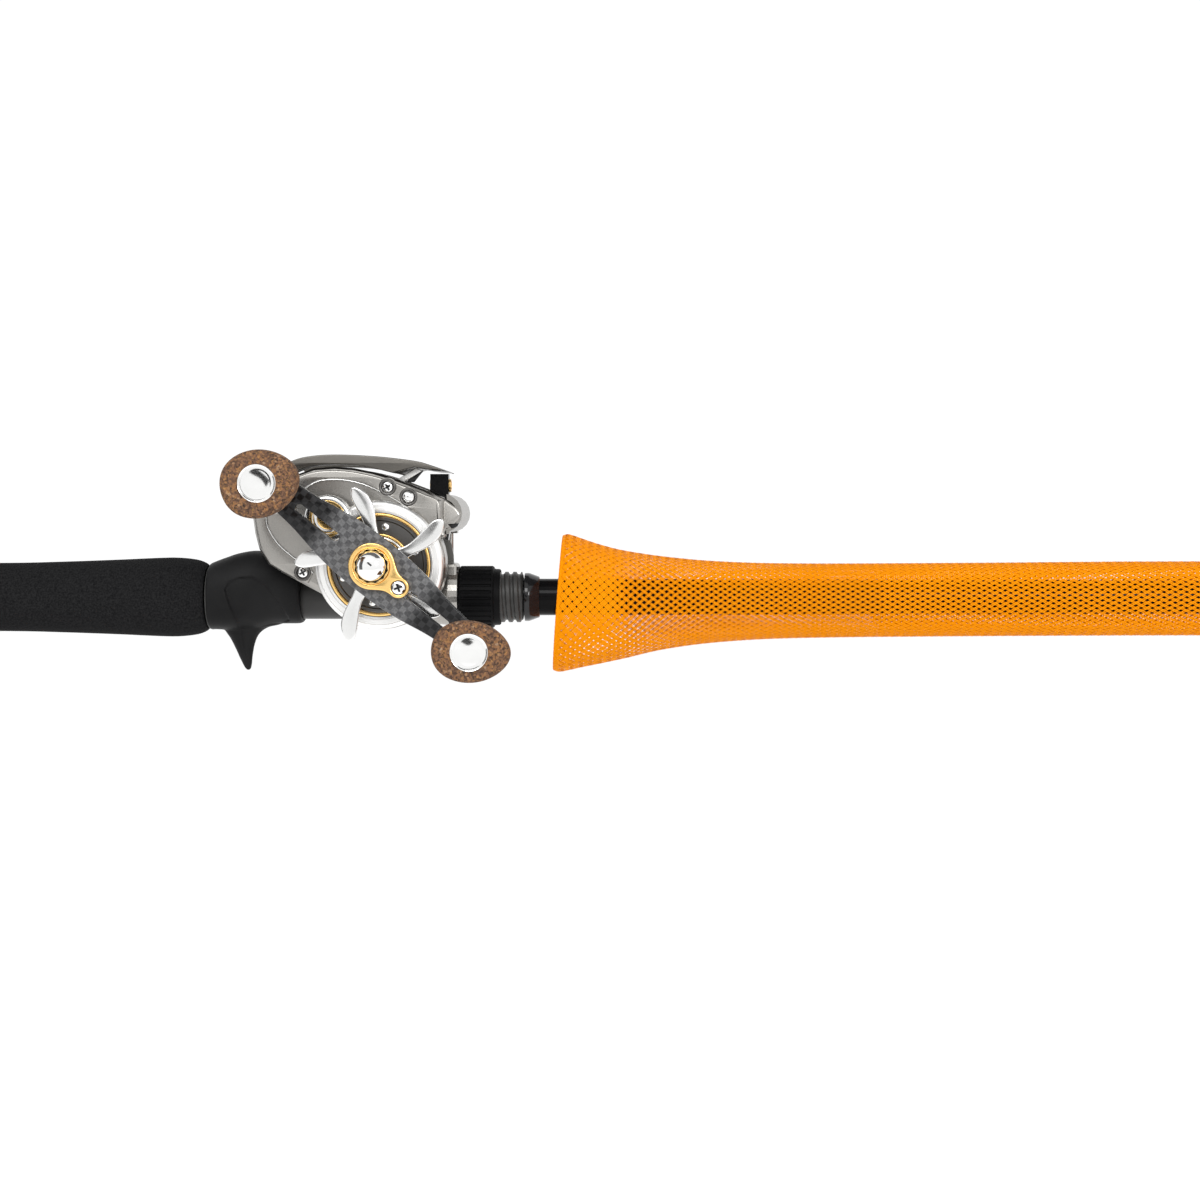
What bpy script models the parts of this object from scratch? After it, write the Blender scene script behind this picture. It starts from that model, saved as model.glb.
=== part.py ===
"""Baitcasting rod and reel with a braided rod sleeve.

Frame: the origin is the centre of the butt cap's flat end, +X runs along the rod to its tip, +Z is up
(the reel sits on top, the trigger hangs below) and -Y is the handle side. Lengths below are millimetres,
and MM turns them into the scene's metres where vertices are made. "Out" means the distance from the rod's
middle plane towards the handle, so a point's y is minus its out value.
"""

import math

import bmesh
import bpy
from mathutils import Matrix, Vector

MM = 0.001
GAP = 0.3
MERGE = 0.00001

# Rod
ROD_LENGTH = 2032.0
GRIP_START, GRIP_END = 6.0, 231.5
BLANK_STATIONS = ((8.0, 7.3), (350.0, 6.6), (572.0, 6.1), (1300.0, 3.4), (2020.0, 1.0))
GUIDE_PLACES = (720.0, 950.0, 1150.0, 1325.0, 1480.0, 1620.0, 1745.0, 1860.0)

# Reel seat
BARREL_RADIUS, THREAD_RADIUS, THREAD_PITCH = 7.9, 9.0, 2.9
BARREL_START, THREAD_START, BARREL_END = 233.0, 312.0, 344.6
NUT_START, NUT_END, NUT_RADIUS = 321.6, 336.4, 11.2
HOOD_START = 312.5

# Reel axes, as (x, z)
GEAR_AXIS = Vector((296.0, 12.3))
MODULE = 0.5
MAIN_TEETH, PINION_TEETH = 80, 12
SHAFT_TEETH, IDLER_TEETH, WORM_TEETH = 24, 28, 14
SPOOL_DIRECTION = math.radians(136.5)
WORM_DIRECTION = math.radians(47.0)
FLANGE_RADIUS, SPOOL_HUB_RADIUS, SPOOL_HALF_WIDTH = 16.3, 10.0, 12.0
DRUM_RADIUS, WELL_RADIUS = 22.5, 18.2
PLATE_OUT = (13.0, 14.6)
COVER_OUT = (15.0, 25.5)
DRUM_OUT = 29.0
NECK_RADIUS = 4.7
PALM_LOWEST = 2.0
WELL_FLOOR_OUT = (24.6, 26.0)
SCREW_PLACES = {"cover_screw_front": (298.8, 39.0), "cover_screw_rear": (269.4, 9.6), "lube_port_cap": (306.0, 35.6)}

# Handle
ARM_OUT = (43.5, 46.3)
ARM_ANGLE = math.radians(-38.7)
KNOB_REACH = 43.4
KNOB_OUT = (48.6, 70.6)
SCREW_REACH = 11.4
STAR_OUT = (35.7, 37.7)
STAR_RADIUS = 27.5

# Sleeve
SLEEVE_WALL = 0.8
SLEEVE_END = 2052.0


def polar(centre, radius, angle):
    return Vector((centre[0] + radius * math.cos(angle), centre[1] + radius * math.sin(angle)))


SPOOL_AXIS = polar(GEAR_AXIS, MODULE * (MAIN_TEETH + PINION_TEETH) / 2, SPOOL_DIRECTION)
IDLER_AXIS = polar(GEAR_AXIS, MODULE * (SHAFT_TEETH + IDLER_TEETH) / 2, WORM_DIRECTION)
WORM_AXIS = polar(GEAR_AXIS, MODULE * (SHAFT_TEETH + 2 * IDLER_TEETH + WORM_TEETH) / 2, WORM_DIRECTION)


# ---------------------------------------------------------------- helpers


def clear_scene():
    for item in list(bpy.data.objects):
        bpy.data.objects.remove(item, do_unlink=True)


def new_collection(name):
    collection = bpy.data.collections.new(name)
    bpy.context.scene.collection.children.link(collection)
    return collection


clear_scene()
PARTS = new_collection("fishing_rod_and_reel")
CUTTERS = new_collection("cutters")


def material(name, color, roughness, metallic=0.0):
    made = bpy.data.materials.new(name)
    made.use_nodes = True
    shader = made.node_tree.nodes["Principled BSDF"]
    shader.inputs["Base Color"].default_value = (*color, 1.0)
    shader.inputs["Roughness"].default_value = roughness
    shader.inputs["Metallic"].default_value = metallic
    return made


LOOKS = {
    "foam": ((0.012, 0.012, 0.013), 0.85, 0.0),
    "blank": ((0.008, 0.008, 0.009), 0.12, 0.0),
    "seat": ((0.02, 0.02, 0.021), 0.5, 0.0),
    "barrel": ((0.06, 0.058, 0.055), 0.45, 0.0),
    "silver": ((0.62, 0.61, 0.6), 0.3, 1.0),
    "steel": ((0.75, 0.75, 0.76), 0.18, 1.0),
    "gold": ((0.95, 0.62, 0.18), 0.22, 1.0),
    "brass": ((0.78, 0.58, 0.25), 0.3, 1.0),
    "carbon": ((0.03, 0.03, 0.032), 0.3, 0.0),
    "cork": ((0.3, 0.16, 0.09), 0.8, 0.0),
    "orange": ((1.0, 0.33, 0.01), 0.45, 0.0),
    "nylon": ((0.8, 0.78, 0.72), 0.4, 0.0),
}


def finish(item, look, collection=PARTS):
    """Names the object's own material after it and files the object."""
    for other in list(item.users_collection):
        other.objects.unlink(item)
    collection.objects.link(item)
    item.data.materials.clear()
    item.data.materials.append(material(item.name, *LOOKS[look]))
    return item


def mesh_object(name, mesh, look):
    return finish(bpy.data.objects.new(name, mesh), look)


TO_X = Matrix(((0, 0, 1, 0), (0, 1, 0, 0), (-1, 0, 0, 0), (0, 0, 0, 1)))
TO_OUT = Matrix(((1, 0, 0, 0), (0, 0, -1, 0), (0, 1, 0, 0), (0, 0, 0, 1)))


def placed(item, place, turn):
    item.matrix_world = Matrix.Translation(Vector(place) * MM) @ turn
    return item


def turned(name, profile, look, place=(0, 0, 0), turn=TO_X, segments=32, closed=True):
    """A turned piece: profile is (radius, height) down the outer side first, then back up the inside."""
    mesh = bpy.data.meshes.new(name)
    points = [(radius * MM, 0.0, height * MM) for radius, height in profile]
    edges = [(i, i + 1) for i in range(len(points) - 1)]
    if closed:
        edges.append((len(points) - 1, 0))
    mesh.from_pydata(points, edges, [])
    item = mesh_object(name, mesh, look)
    screw = item.modifiers.new("turn", "SCREW")
    screw.steps = screw.render_steps = segments
    screw.use_merge_vertices = True
    screw.merge_threshold = MERGE
    screw.use_smooth_shade = True
    return placed(item, place, turn)


def disc(name, radius, out, look, centre, segments=32, edge=0.0):
    """A solid round piece across the reel, from out[0] to out[1], with an optional chamfer on its outer end."""
    profile = [(0, out[1]), (radius - edge, out[1]), (radius, out[1] - edge), (radius, out[0]), (0, out[0])]
    if edge == 0:
        profile.pop(2)
    return turned(name, profile, look, (centre[0], 0, centre[1]), TO_OUT, segments, closed=False)


def ring(name, inner, outer, out, look, centre, segments=32, edge=0.0):
    profile = [(outer - edge, out[1]), (outer, out[1] - edge), (outer, out[0]), (inner, out[0]), (inner, out[1])]
    if edge == 0:
        profile.pop(1)
    return turned(name, profile, look, (centre[0], 0, centre[1]), TO_OUT, segments)


def circle_points(centre, radius, count, start=0.0):
    return [polar(centre, radius, start + math.tau * i / count) for i in range(count)]


def arc(centre, radius, start, end, count):
    """Points on an arc, with its angles in degrees."""
    step = (end - start) / (count - 1)
    return [polar(centre, radius, math.radians(start + step * i)) for i in range(count)]


def as_mesh(item, look):
    """The curve's evaluated shape as a closed mesh object in the same place."""
    graph = bpy.context.evaluated_depsgraph_get()
    mesh = bpy.data.meshes.new_from_object(item.evaluated_get(graph))
    shape = bmesh.new()
    shape.from_mesh(mesh)
    bmesh.ops.remove_doubles(shape, verts=shape.verts, dist=MERGE)
    shape.to_mesh(mesh)
    shape.free()
    name, world = item.name, item.matrix_world.copy()
    bpy.data.objects.remove(item, do_unlink=True)
    made = mesh_object(name, mesh, look)
    made.name = name
    made.matrix_world = world
    return made


def plate(name, outline, out, look, holes=()):
    """A flat piece across the reel from (x, z) points, with holes as further outlines."""
    curve = bpy.data.curves.new(name, "CURVE")
    curve.dimensions = "2D"
    curve.fill_mode = "BOTH"
    curve.extrude = (out[1] - out[0]) / 2 * MM
    for points in (outline, *holes):
        spline = curve.splines.new("POLY")
        spline.points.add(len(points) - 1)
        for knot, (x, z) in zip(spline.points, points):
            knot.co = (x * MM, z * MM, 0.0, 1.0)
        spline.use_cyclic_u = True
    item = bpy.data.objects.new(name, curve)
    PARTS.objects.link(item)
    placed(item, (0, -(out[0] + out[1]) / 2, 0), TO_OUT)
    bpy.context.view_layer.update()
    return as_mesh(item, look)


def box(name, low, high, look):
    mesh = bpy.data.meshes.new(name)
    shape = bmesh.new()
    bmesh.ops.create_cube(shape, size=1.0)
    size = [(b - a) * MM for a, b in zip(low, high)]
    middle = [(a + b) / 2 * MM for a, b in zip(low, high)]
    bmesh.ops.scale(shape, vec=size, verts=shape.verts)
    bmesh.ops.translate(shape, vec=middle, verts=shape.verts)
    shape.to_mesh(mesh)
    shape.free()
    return mesh_object(name, mesh, look)


def join(item, other, operation):
    """Adds a Boolean with another object, which becomes a hidden cutter."""
    change = item.modifiers.new(operation.lower(), "BOOLEAN")
    change.operation = operation
    change.object = other
    change.solver = "EXACT"
    PARTS.objects.unlink(other)
    CUTTERS.objects.link(other)
    other.hide_render = True
    other.display_type = "WIRE"
    return item


def cut(item, other):
    return join(item, other, "DIFFERENCE")


def unite(item, other):
    return join(item, other, "UNION")


def bevel(item, width, segments=2, angle=40.0):
    edge = item.modifiers.new("edge", "BEVEL")
    edge.width = width * MM
    edge.segments = segments
    edge.limit_method = "ANGLE"
    edge.angle_limit = math.radians(angle)
    edge.use_clamp_overlap = True
    return item


def gear_outline(centre, teeth, phase, slim=0.8):
    """A toothed outline: straight-flanked teeth, thinned for running clearance; phase is a tooth's angle."""
    tip, root = 0.672 * MODULE, 0.96 * MODULE
    pitch_radius = MODULE * teeth / 2
    step = math.tau / teeth
    corners = ((-0.29, -root), (-0.13, tip), (0.13, tip), (0.29, -root))
    return [
        polar(centre, pitch_radius + radial * slim, phase + step * (i + part * slim))
        for i in range(teeth)
        for part, radial in corners
    ]


def loft(name, rings, look, capped=True):
    """A skin through rings of equal point count, which run the same way round."""
    mesh = bpy.data.meshes.new(name)
    shape = bmesh.new()
    rows = [[shape.verts.new(Vector(point) * MM) for point in points] for points in rings]
    for near, far in zip(rows, rows[1:]):
        count = len(near)
        for i in range(count):
            shape.faces.new((near[i], far[i], far[(i + 1) % count], near[(i + 1) % count]))
    if capped:
        shape.faces.new(rows[0])
        shape.faces.new(list(reversed(rows[-1])))
    bmesh.ops.recalc_face_normals(shape, faces=shape.faces)
    shape.to_mesh(mesh)
    shape.free()
    item = mesh_object(name, mesh, look)
    mesh.shade_smooth()
    return item


# ---------------------------------------------------------------- rod


def make_rod():
    turned("butt_cap", [(0, 5.7), (9.5, 5.7), (12.3, 5.7), (12.9, 3.0), (11.6, 0), (0, 0)], "foam", closed=False)
    grip = [(12.2, GRIP_END), (13.4, 227.0), (14.2, 220.0), (13.2, 196.0), (12.2, 172.0), (12.2, 60.0)]
    grip += [(13.2, 30.0), (13.2, 8.5), (12.4, GRIP_START), (7.7, GRIP_START), (7.7, GRIP_END)]
    turned("rear_grip", grip, "foam", segments=20)
    outer = [(radius, x) for x, radius in reversed(BLANK_STATIONS)]
    inner = [(max(radius - 1.3, 0.45), x) for x, radius in BLANK_STATIONS]
    turned("rod_blank", outer + inner, "blank", segments=16)
    check = [(6.95, 345.0), (6.95, 350.4), (7.3, 350.4), (8.7, 346.6), (8.7, 345.0)]
    turned("winding_check", check, "seat", segments=24)


def make_guide(name, x):
    """A low one-piece guide: a wire ring on a foot that is bound to the blank's top."""
    blank_radius = 6.1 - (x - 572.0) * 2.7 / 728.0
    ring_z, wire = blank_radius + 2.9, 0.45
    profile = [(1.75 + wire * math.cos(a), wire * math.sin(a)) for a in
               (math.tau * (0.125 - i / 6) for i in range(6))]
    guide = turned(name, profile, "steel", (x, 0, ring_z), TO_X, 12)
    foot = box(name + "_foot", (x - 11.0, -0.9, blank_radius + GAP), (x + 0.3, 0.9, ring_z - 1.5), "steel")
    slope = box(name + "_slope", (x - 13.0, -2.0, blank_radius + 1.0), (x - 1.1, 2.0, ring_z + 2.0), "steel")
    cut(foot, slope)
    unite(guide, foot)


def make_tip_top():
    tip = ROD_LENGTH
    profile = [(1.6 + 0.45 * math.cos(a), 0.45 * math.sin(a)) for a in
               (math.tau * (0.125 - i / 6) for i in range(6))]
    guide = turned("tip_top", profile, "steel", (tip - 0.6, 0, 2.6), TO_X, 12)
    tube = [(0, tip - 1.0), (1.7, tip - 1.0), (1.7, tip - 18.0), (1.35, tip - 18.0), (1.35, tip - 10.0),
            (0, tip - 10.0)]
    unite(guide, turned("tip_tube", tube, "steel", segments=16, closed=False))
    unite(guide, box("tip_leg", (tip - 1.2, -0.5, 0.6), (tip - 0.2, 0.5, 1.3), "steel"))


# ---------------------------------------------------------------- reel seat


def section(x, top, bottom, half_width, count=16, power=2.0):
    """A rounded cross-section of the seat at x, as points round it."""
    middle, half_height = (top + bottom) / 2, (top - bottom) / 2
    points = []
    for i in range(count):
        angle = math.tau * i / count
        c, s = math.cos(angle), math.sin(angle)
        y = half_width * math.copysign(abs(c) ** (2 / power), c)
        z = middle + half_height * math.copysign(abs(s) ** (2 / power), s)
        points.append((x, y, z))
    return points


def make_seat():
    stations = ((233.2, 12.3, -11.7, 12.0), (238.0, 14.2, -11.8, 12.2), (243.0, 15.9, -11.9, 12.4),
                (249.0, 16.6, -11.2, 12.3), (255.0, 15.6, -9.6, 11.9), (260.0, 13.6, -9.6, 11.4),
                (264.6, 12.2, -9.4, 11.0), (265.6, 11.4, -8.4, 10.4))
    seat = loft("reel_seat", [section(*station, power=2.3) for station in stations], "seat")
    heel = [(236.2, -6.0), (236.2, -12.0), (238.4, -14.2), (240.7, -18.4), (242.6, -22.5), (244.3, -25.9),
            (245.4, -26.6), (246.2, -25.6), (246.9, -21.6), (248.0, -16.6), (249.6, -13.2), (252.0, -11.0),
            (255.6, -9.5), (259.0, -6.0)]
    trigger = plate("seat_trigger", heel, (-4.6, 4.6), "seat")
    bevel(trigger, 1.6)
    unite(seat, trigger)
    cut(seat, turned("seat_bore", [(0, 270), (BARREL_RADIUS + GAP, 270), (BARREL_RADIUS + GAP, 230), (0, 230)],
                     "seat", closed=False))
    foot_pocket = box("seat_pocket", (253.0, -6.6, 7.0), (270.0, 6.6, 10.9), "seat")
    cut(seat, foot_pocket)


def make_barrel():
    """The seat's tube, with a cradle cut flat on top for the foot and a coarse thread at its front."""
    thread = []
    x = THREAD_START
    while x + THREAD_PITCH <= BARREL_END:
        thread += [(THREAD_RADIUS - 0.7, x), (THREAD_RADIUS, x + 0.7), (THREAD_RADIUS, x + THREAD_PITCH - 0.9)]
        x += THREAD_PITCH
    thread.append((THREAD_RADIUS - 0.7, BARREL_END))
    profile = [(7.3, BARREL_END), *reversed(thread), (BARREL_RADIUS, THREAD_START - 1.0),
               (BARREL_RADIUS, BARREL_START), (7.3, BARREL_START)]
    barrel = turned("seat_barrel", profile, "barrel", segments=16)
    cut(barrel, box("cradle_cut", (266.5, -9.0, 7.55), (NUT_START + 12.0, 9.0, 14.0), "barrel"))


def make_hood_and_nut():
    hood = [(10.6, 321.3), (10.8, 318.0), (10.2, HOOD_START), (9.3, HOOD_START), (9.3, 321.3)]
    shell = turned("front_hood", hood, "silver", (0, 0, 0.6), segments=32)
    bulge = box("hood_bulge", (HOOD_START, -7.6, 6.0), (321.3, 7.6, 12.2), "silver")
    unite(shell, bevel(bulge, 1.2))
    cut(shell, box("hood_pocket", (HOOD_START - 1.0, -6.6, 7.0), (322.0, 6.6, 10.9), "silver"))
    cut(shell, turned("hood_bore", [(0, 330), (9.3, 330), (9.3, 300), (0, 300)], "silver", closed=False))

    nut = turned("lock_nut", [(9.6, NUT_END), (10.2, NUT_END), (10.2, NUT_END - 2.2), (11.0, NUT_END - 2.6),
                              (11.0, NUT_START), (9.6, NUT_START)], "seat", segments=24)
    mesh = bpy.data.meshes.new("rib")
    shape = bmesh.new()
    bmesh.ops.create_cube(shape, size=1.0)
    bmesh.ops.scale(shape, vec=(10.6 * MM, 1.1 * MM, 0.9 * MM), verts=shape.verts)
    shape.to_mesh(mesh)
    shape.free()
    ribs = 12
    for i in range(ribs):
        rib = mesh_object(f"nut_rib_{i}", mesh.copy(), "seat")
        angle = math.tau * i / ribs
        middle = Vector((NUT_START + 6.6, 0, 0)) * MM
        rib.matrix_world = (Matrix.Rotation(angle, 4, "X") @
                            Matrix.Translation(middle + Vector((0, 0, 10.75 * MM))))
        unite(nut, rib)


# ---------------------------------------------------------------- reel body


def grown(points, grow):
    """The outline pushed away from the reel's middle by grow."""
    middle = Vector((285.0, 24.0))
    return [tuple(middle + (Vector(p) - middle) * (1 + grow / (Vector(p) - middle).length)) for p in points]


def cover_outline(grow=0.0):
    """The handle-side cover's outline, anticlockwise from its rear."""
    points = [(251.8, 29.0), (252.6, 23.0), (254.0, 17.6), (257.2, 12.4), (262.0, 9.4), (268.6, 5.8)]
    points += arc(GEAR_AXIS, DRUM_RADIUS, 208.0, 385.0, 20)
    points += [(318.0, 25.0), (318.0, 34.6), (311.6, 38.0), (306.3, 40.1), (300.0, 42.4), (294.0, 44.2),
               (287.0, 45.6), (280.3, 46.1), (273.0, 45.5), (266.0, 43.0), (259.0, 38.6), (254.0, 33.6)]
    return grown(points, grow)


def palm_outline(grow=0.0):
    """The palm side's outline: as the handle side's, but without the gear drum below."""
    kept = [p for p in cover_outline() if p[1] > PALM_LOWEST and not 300.0 < p[0] < 316.3 or p[1] > 30.0]
    return grown(kept, grow)


def domed_plate(name, steps, look, outline=cover_outline):
    """A side cover's solid: its outline at each (out, grow) step, joined by a skin."""
    return loft(name, [[(x, -out, z) for x, z in outline(grow)] for out, grow in steps], look)


def make_gear_cover():
    low, high = COVER_OUT
    cover = domed_plate("gear_side_cover", ((low, 0.0), (high - 2.4, 0.0), (high - 0.8, -0.8), (high, -2.4)),
                        "silver")
    unite(cover, disc("spool_neck", NECK_RADIUS, (24.3, 33.0), "silver", SPOOL_AXIS, 24))
    unite(cover, disc("gear_drum", DRUM_RADIUS - GAP, (16.0, DRUM_OUT), "silver", GEAR_AXIS, 36, 1.6))
    inside = domed_plate("cover_inside", ((14.0, -1.7), (high - 4.2, -1.7), (high - 1.7, -4.2)), "silver")
    cut(cover, inside)
    inner, hole, floor_out = 21.1, 7.2, WELL_FLOOR_OUT
    well = [(0, 40.0), (WELL_RADIUS, 40.0), (WELL_RADIUS, floor_out[1]), (hole, floor_out[1]),
            (hole, floor_out[0]), (inner, floor_out[0]), (inner, 13.0), (0, 13.0)]
    cut(cover, turned("gear_space", well, "silver", (GEAR_AXIS[0], 0, GEAR_AXIS[1]), TO_OUT, 36, closed=False))
    cut(cover, disc("neck_hole", 2.3, (20.0, 40.0), "silver", SPOOL_AXIS, 16))
    cut(cover, disc("bearing_seat", 4.1, (20.0, 26.7), "silver", SPOOL_AXIS, 20))
    for name, (x, z) in SCREW_PLACES.items():
        cut(cover, disc(name + "_seat", 2.7, (20.0, 40.0), "silver", (x, z), 16))
    for change in cover.modifiers:
        change.solver = "MANIFOLD"


def make_cover_trim():
    ring("drag_trim_ring", 16.6, 17.8, (26.4, 29.4), "gold", GEAR_AXIS, 32)
    liner = ring("drag_well_plate", 8.6, 16.2, (26.4, 27.2), "barrel", GEAR_AXIS, 28)
    for i in range(6):
        centre = polar(GEAR_AXIS, 13.4, math.radians(20.0 + 60.0 * i))
        unite(liner, disc(f"well_pin_{i}", 1.15, (26.8, 28.3), "steel", centre, 8))
    for name, (x, z) in SCREW_PLACES.items():
        screw = disc(name, 2.3, (22.0, 26.4), "steel", (x, z), 16, 0.5)
        if name != "lube_port_cap":
            for angle in (45, 135):
                slot = box(f"{name}_slot_{angle}", (-1.5, -0.35, -0.6), (1.5, 0.35, 0.6), "steel")
                slot.matrix_world = (Matrix.Translation(Vector((x, -26.4, z)) * MM) @ TO_OUT @
                                     Matrix.Rotation(math.radians(angle), 4, "Z"))
                cut(screw, slot)


def make_frame():
    """Two side plates joined by a floor, a thumb rest and a nose bar, round the spool's space."""
    outline = cover_outline()
    gear_plate = plate("reel_frame", outline, PLATE_OUT, "silver", [
        circle_points(GEAR_AXIS, 3.6, 20),
        circle_points(SPOOL_AXIS, 4.2, 20),
        circle_points(WORM_AXIS, 2.6, 16),
    ])
    palm_plate = plate("palm_plate", palm_outline(), (-PLATE_OUT[1], -PLATE_OUT[0]), "silver", [
        circle_points(SPOOL_AXIS, FLANGE_RADIUS + 0.4, 40)])
    unite(gear_plate, palm_plate)
    across = (-PLATE_OUT[0] - 0.4, PLATE_OUT[0] + 0.4)
    floor = [(259.0, 18.0), (266.0, 13.4), (266.3, 10.0), (312.0, 10.0), (312.0, 11.3), (268.4, 11.3),
             (266.0, 15.6), (259.0, 20.6), (257.6, 27.0), (253.6, 27.0), (254.4, 21.0)]
    unite(gear_plate, plate("frame_floor", floor, across, "silver"))
    nose = arc((317.2, 30.0), 6.8, -75.0, 78.0, 9) + arc((317.2, 30.0), 5.0, 72.0, -70.0, 8)
    nose_bar = plate("nose_bar", nose, (-20.0, 20.0), "silver")
    unite(gear_plate, nose_bar)
    for side in (-1, 1):
        corner = box(f"nose_cheek_{side}", (315.6, -20.0 if side < 0 else 14.0, 22.8),
                     (319.6, -14.0 if side < 0 else 20.0, 33.0), "silver")
        unite(gear_plate, corner)
    cut(gear_plate, box("cover_room", (240.0, -40.0, -20.0), (318.4, -14.7, 60.0), "silver"))
    cut(gear_plate, box("palm_room", (240.0, 14.7, -20.0), (318.4, 40.0, 60.0), "silver"))


def make_visor():
    """The top cowl: it spans the plates over the line guide and runs back beside the spool's opening."""
    top = [(262.8, 46.9), (268.0, 49.0), (274.0, 50.0), (281.0, 50.3), (290.0, 50.0), (299.0, 49.3), (308.7, 48.0),
           (313.6, 46.5), (318.0, 44.9), (313.0, 45.2), (307.9, 46.0), (300.1, 44.0), (290.0, 46.3),
           (280.3, 47.0), (272.0, 46.4), (265.0, 44.0)]
    cowl = plate("frame_cowl", top, (-24.0, 24.0), "silver")
    cut(cowl, box("thumb_window", (255.0, -12.4, 30.0), (301.0, 12.4, 60.0), "silver"))
    bevel(cowl, 0.8)


def make_palm_cover():
    cover = domed_plate("palm_side_cover", ((-15.0, 0.0), (-19.0, -0.2), (-22.6, -1.6), (-24.6, -4.4)), "silver",
                        palm_outline)
    inside = domed_plate("palm_inside", ((-14.0, -1.8), (-18.4, -2.0), (-22.6, -5.0)), "silver", palm_outline)
    cut(cover, inside)
    cut(cover, disc("palm_bearing_hole", 4.6, (-23.5, -14.0), "silver", SPOOL_AXIS, 24))
    ring_holder = ring("palm_bearing_boss", 4.6, 6.6, (-23.0, -17.4), "silver", SPOOL_AXIS, 24)
    unite(cover, ring_holder)
    dial = disc("brake_dial", 12.0, (-27.6, -24.9), "barrel", SPOOL_AXIS, 36)
    unite(dial, box("dial_grip", (SPOOL_AXIS[0] - 9.0, 27.0, SPOOL_AXIS[1] - 1.2),
                    (SPOOL_AXIS[0] + 9.0, 29.0, SPOOL_AXIS[1] + 1.2), "barrel"))


def make_foot():
    foot = box("reel_foot", (256.0, -6.2, 7.9), (320.6, 6.2, 9.6), "silver")
    return bevel(foot, 0.5)


# ---------------------------------------------------------------- spool, gears and level wind


def make_spool():
    w, hub = SPOOL_HALF_WIDTH, SPOOL_HUB_RADIUS
    profile = [(FLANGE_RADIUS, w), (FLANGE_RADIUS, w - 1.2), (hub + 2.0, w - 1.6), (hub, w - 3.0),
               (hub, 3.0 - w), (hub + 2.0, 1.6 - w), (FLANGE_RADIUS, 1.2 - w), (FLANGE_RADIUS, -w),
               (hub - 1.5, -w + 0.6), (hub - 1.5, -4.0), (1.9, -4.0), (1.9, 4.0), (hub - 1.5, 4.0),
               (hub - 1.5, w - 0.6)]
    turned("spool", profile, "silver", (SPOOL_AXIS[0], 0, SPOOL_AXIS[1]), TO_OUT, 24)
    disc("spool_shaft", 1.55, (-22.2, 30.0), "steel", SPOOL_AXIS, 12, 0.5)
    ring("spool_bearing_palm", 2.0, 4.3, (-20.4, -18.0), "steel", SPOOL_AXIS, 16)
    ring("spool_bearing_gear", 2.0, 3.8, (24.7, 26.4), "steel", SPOOL_AXIS, 16)


def make_gears():
    main_phase = SPOOL_DIRECTION
    pinion_phase = SPOOL_DIRECTION + math.pi + math.pi / PINION_TEETH
    plate("main_gear", gear_outline(GEAR_AXIS, MAIN_TEETH, main_phase), (18.9, 21.5), "brass",
          [circle_points(GEAR_AXIS, 3.4, 20)])
    plate("pinion_gear", gear_outline(SPOOL_AXIS, PINION_TEETH, pinion_phase), (17.4, 23.4), "brass",
          [circle_points(SPOOL_AXIS, 1.9, 16)])
    shaft_phase = WORM_DIRECTION
    idler_phase = WORM_DIRECTION + math.pi + math.pi / IDLER_TEETH
    worm_phase = WORM_DIRECTION + math.pi
    plate("shaft_gear", gear_outline(GEAR_AXIS, SHAFT_TEETH, shaft_phase), (15.3, 16.7), "nylon",
          [circle_points(GEAR_AXIS, 3.4, 20)])
    plate("idler_gear", gear_outline(IDLER_AXIS, IDLER_TEETH, idler_phase), (15.3, 16.7), "nylon",
          [circle_points(IDLER_AXIS, 1.5, 12)])
    ratchet = [polar(GEAR_AXIS, radius, math.tau * (i + part) / 12) for i in range(12)
               for part, radius in ((0.0, 9.0), (0.08, 7.6), (0.55, 7.8))]
    plate("ratchet", ratchet, (17.1, 18.3), "steel", [circle_points(GEAR_AXIS, 3.4, 20)])
    ring("drag_washer", 3.4, 15.0, (21.8, 22.4), "carbon", GEAR_AXIS, 24)
    ring("pressure_plate", 3.4, 15.0, (22.7, 23.9), "steel", GEAR_AXIS, 24)
    disc("drive_shaft", 3.1, (13.8, 46.8), "steel", GEAR_AXIS, 20, 0.4)
    ring("clutch_bearing", 3.6, 6.9, (24.2, 31.6), "steel", GEAR_AXIS, 28)
    return worm_phase


def worm_groove(radius, reach, turns):
    """A closed wire that winds round the worm's axis, to be cut from its surface."""
    curve = bpy.data.curves.new("worm_groove", "CURVE")
    curve.dimensions = "3D"
    curve.bevel_depth = 0.42 * MM
    curve.bevel_resolution = 0
    curve.use_fill_caps = True
    spline = curve.splines.new("POLY")
    steps = turns * 8
    spline.points.add(steps)
    for i, knot in enumerate(spline.points):
        share = i / steps
        centre = polar(WORM_AXIS, radius, math.tau * turns * share)
        knot.co = (centre[0] * MM, reach * (1.0 - 2.0 * share) * MM, centre[1] * MM, 1.0)
    item = bpy.data.objects.new(curve.name, curve)
    PARTS.objects.link(item)
    bpy.context.view_layer.update()
    return as_mesh(item, "steel")


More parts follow.
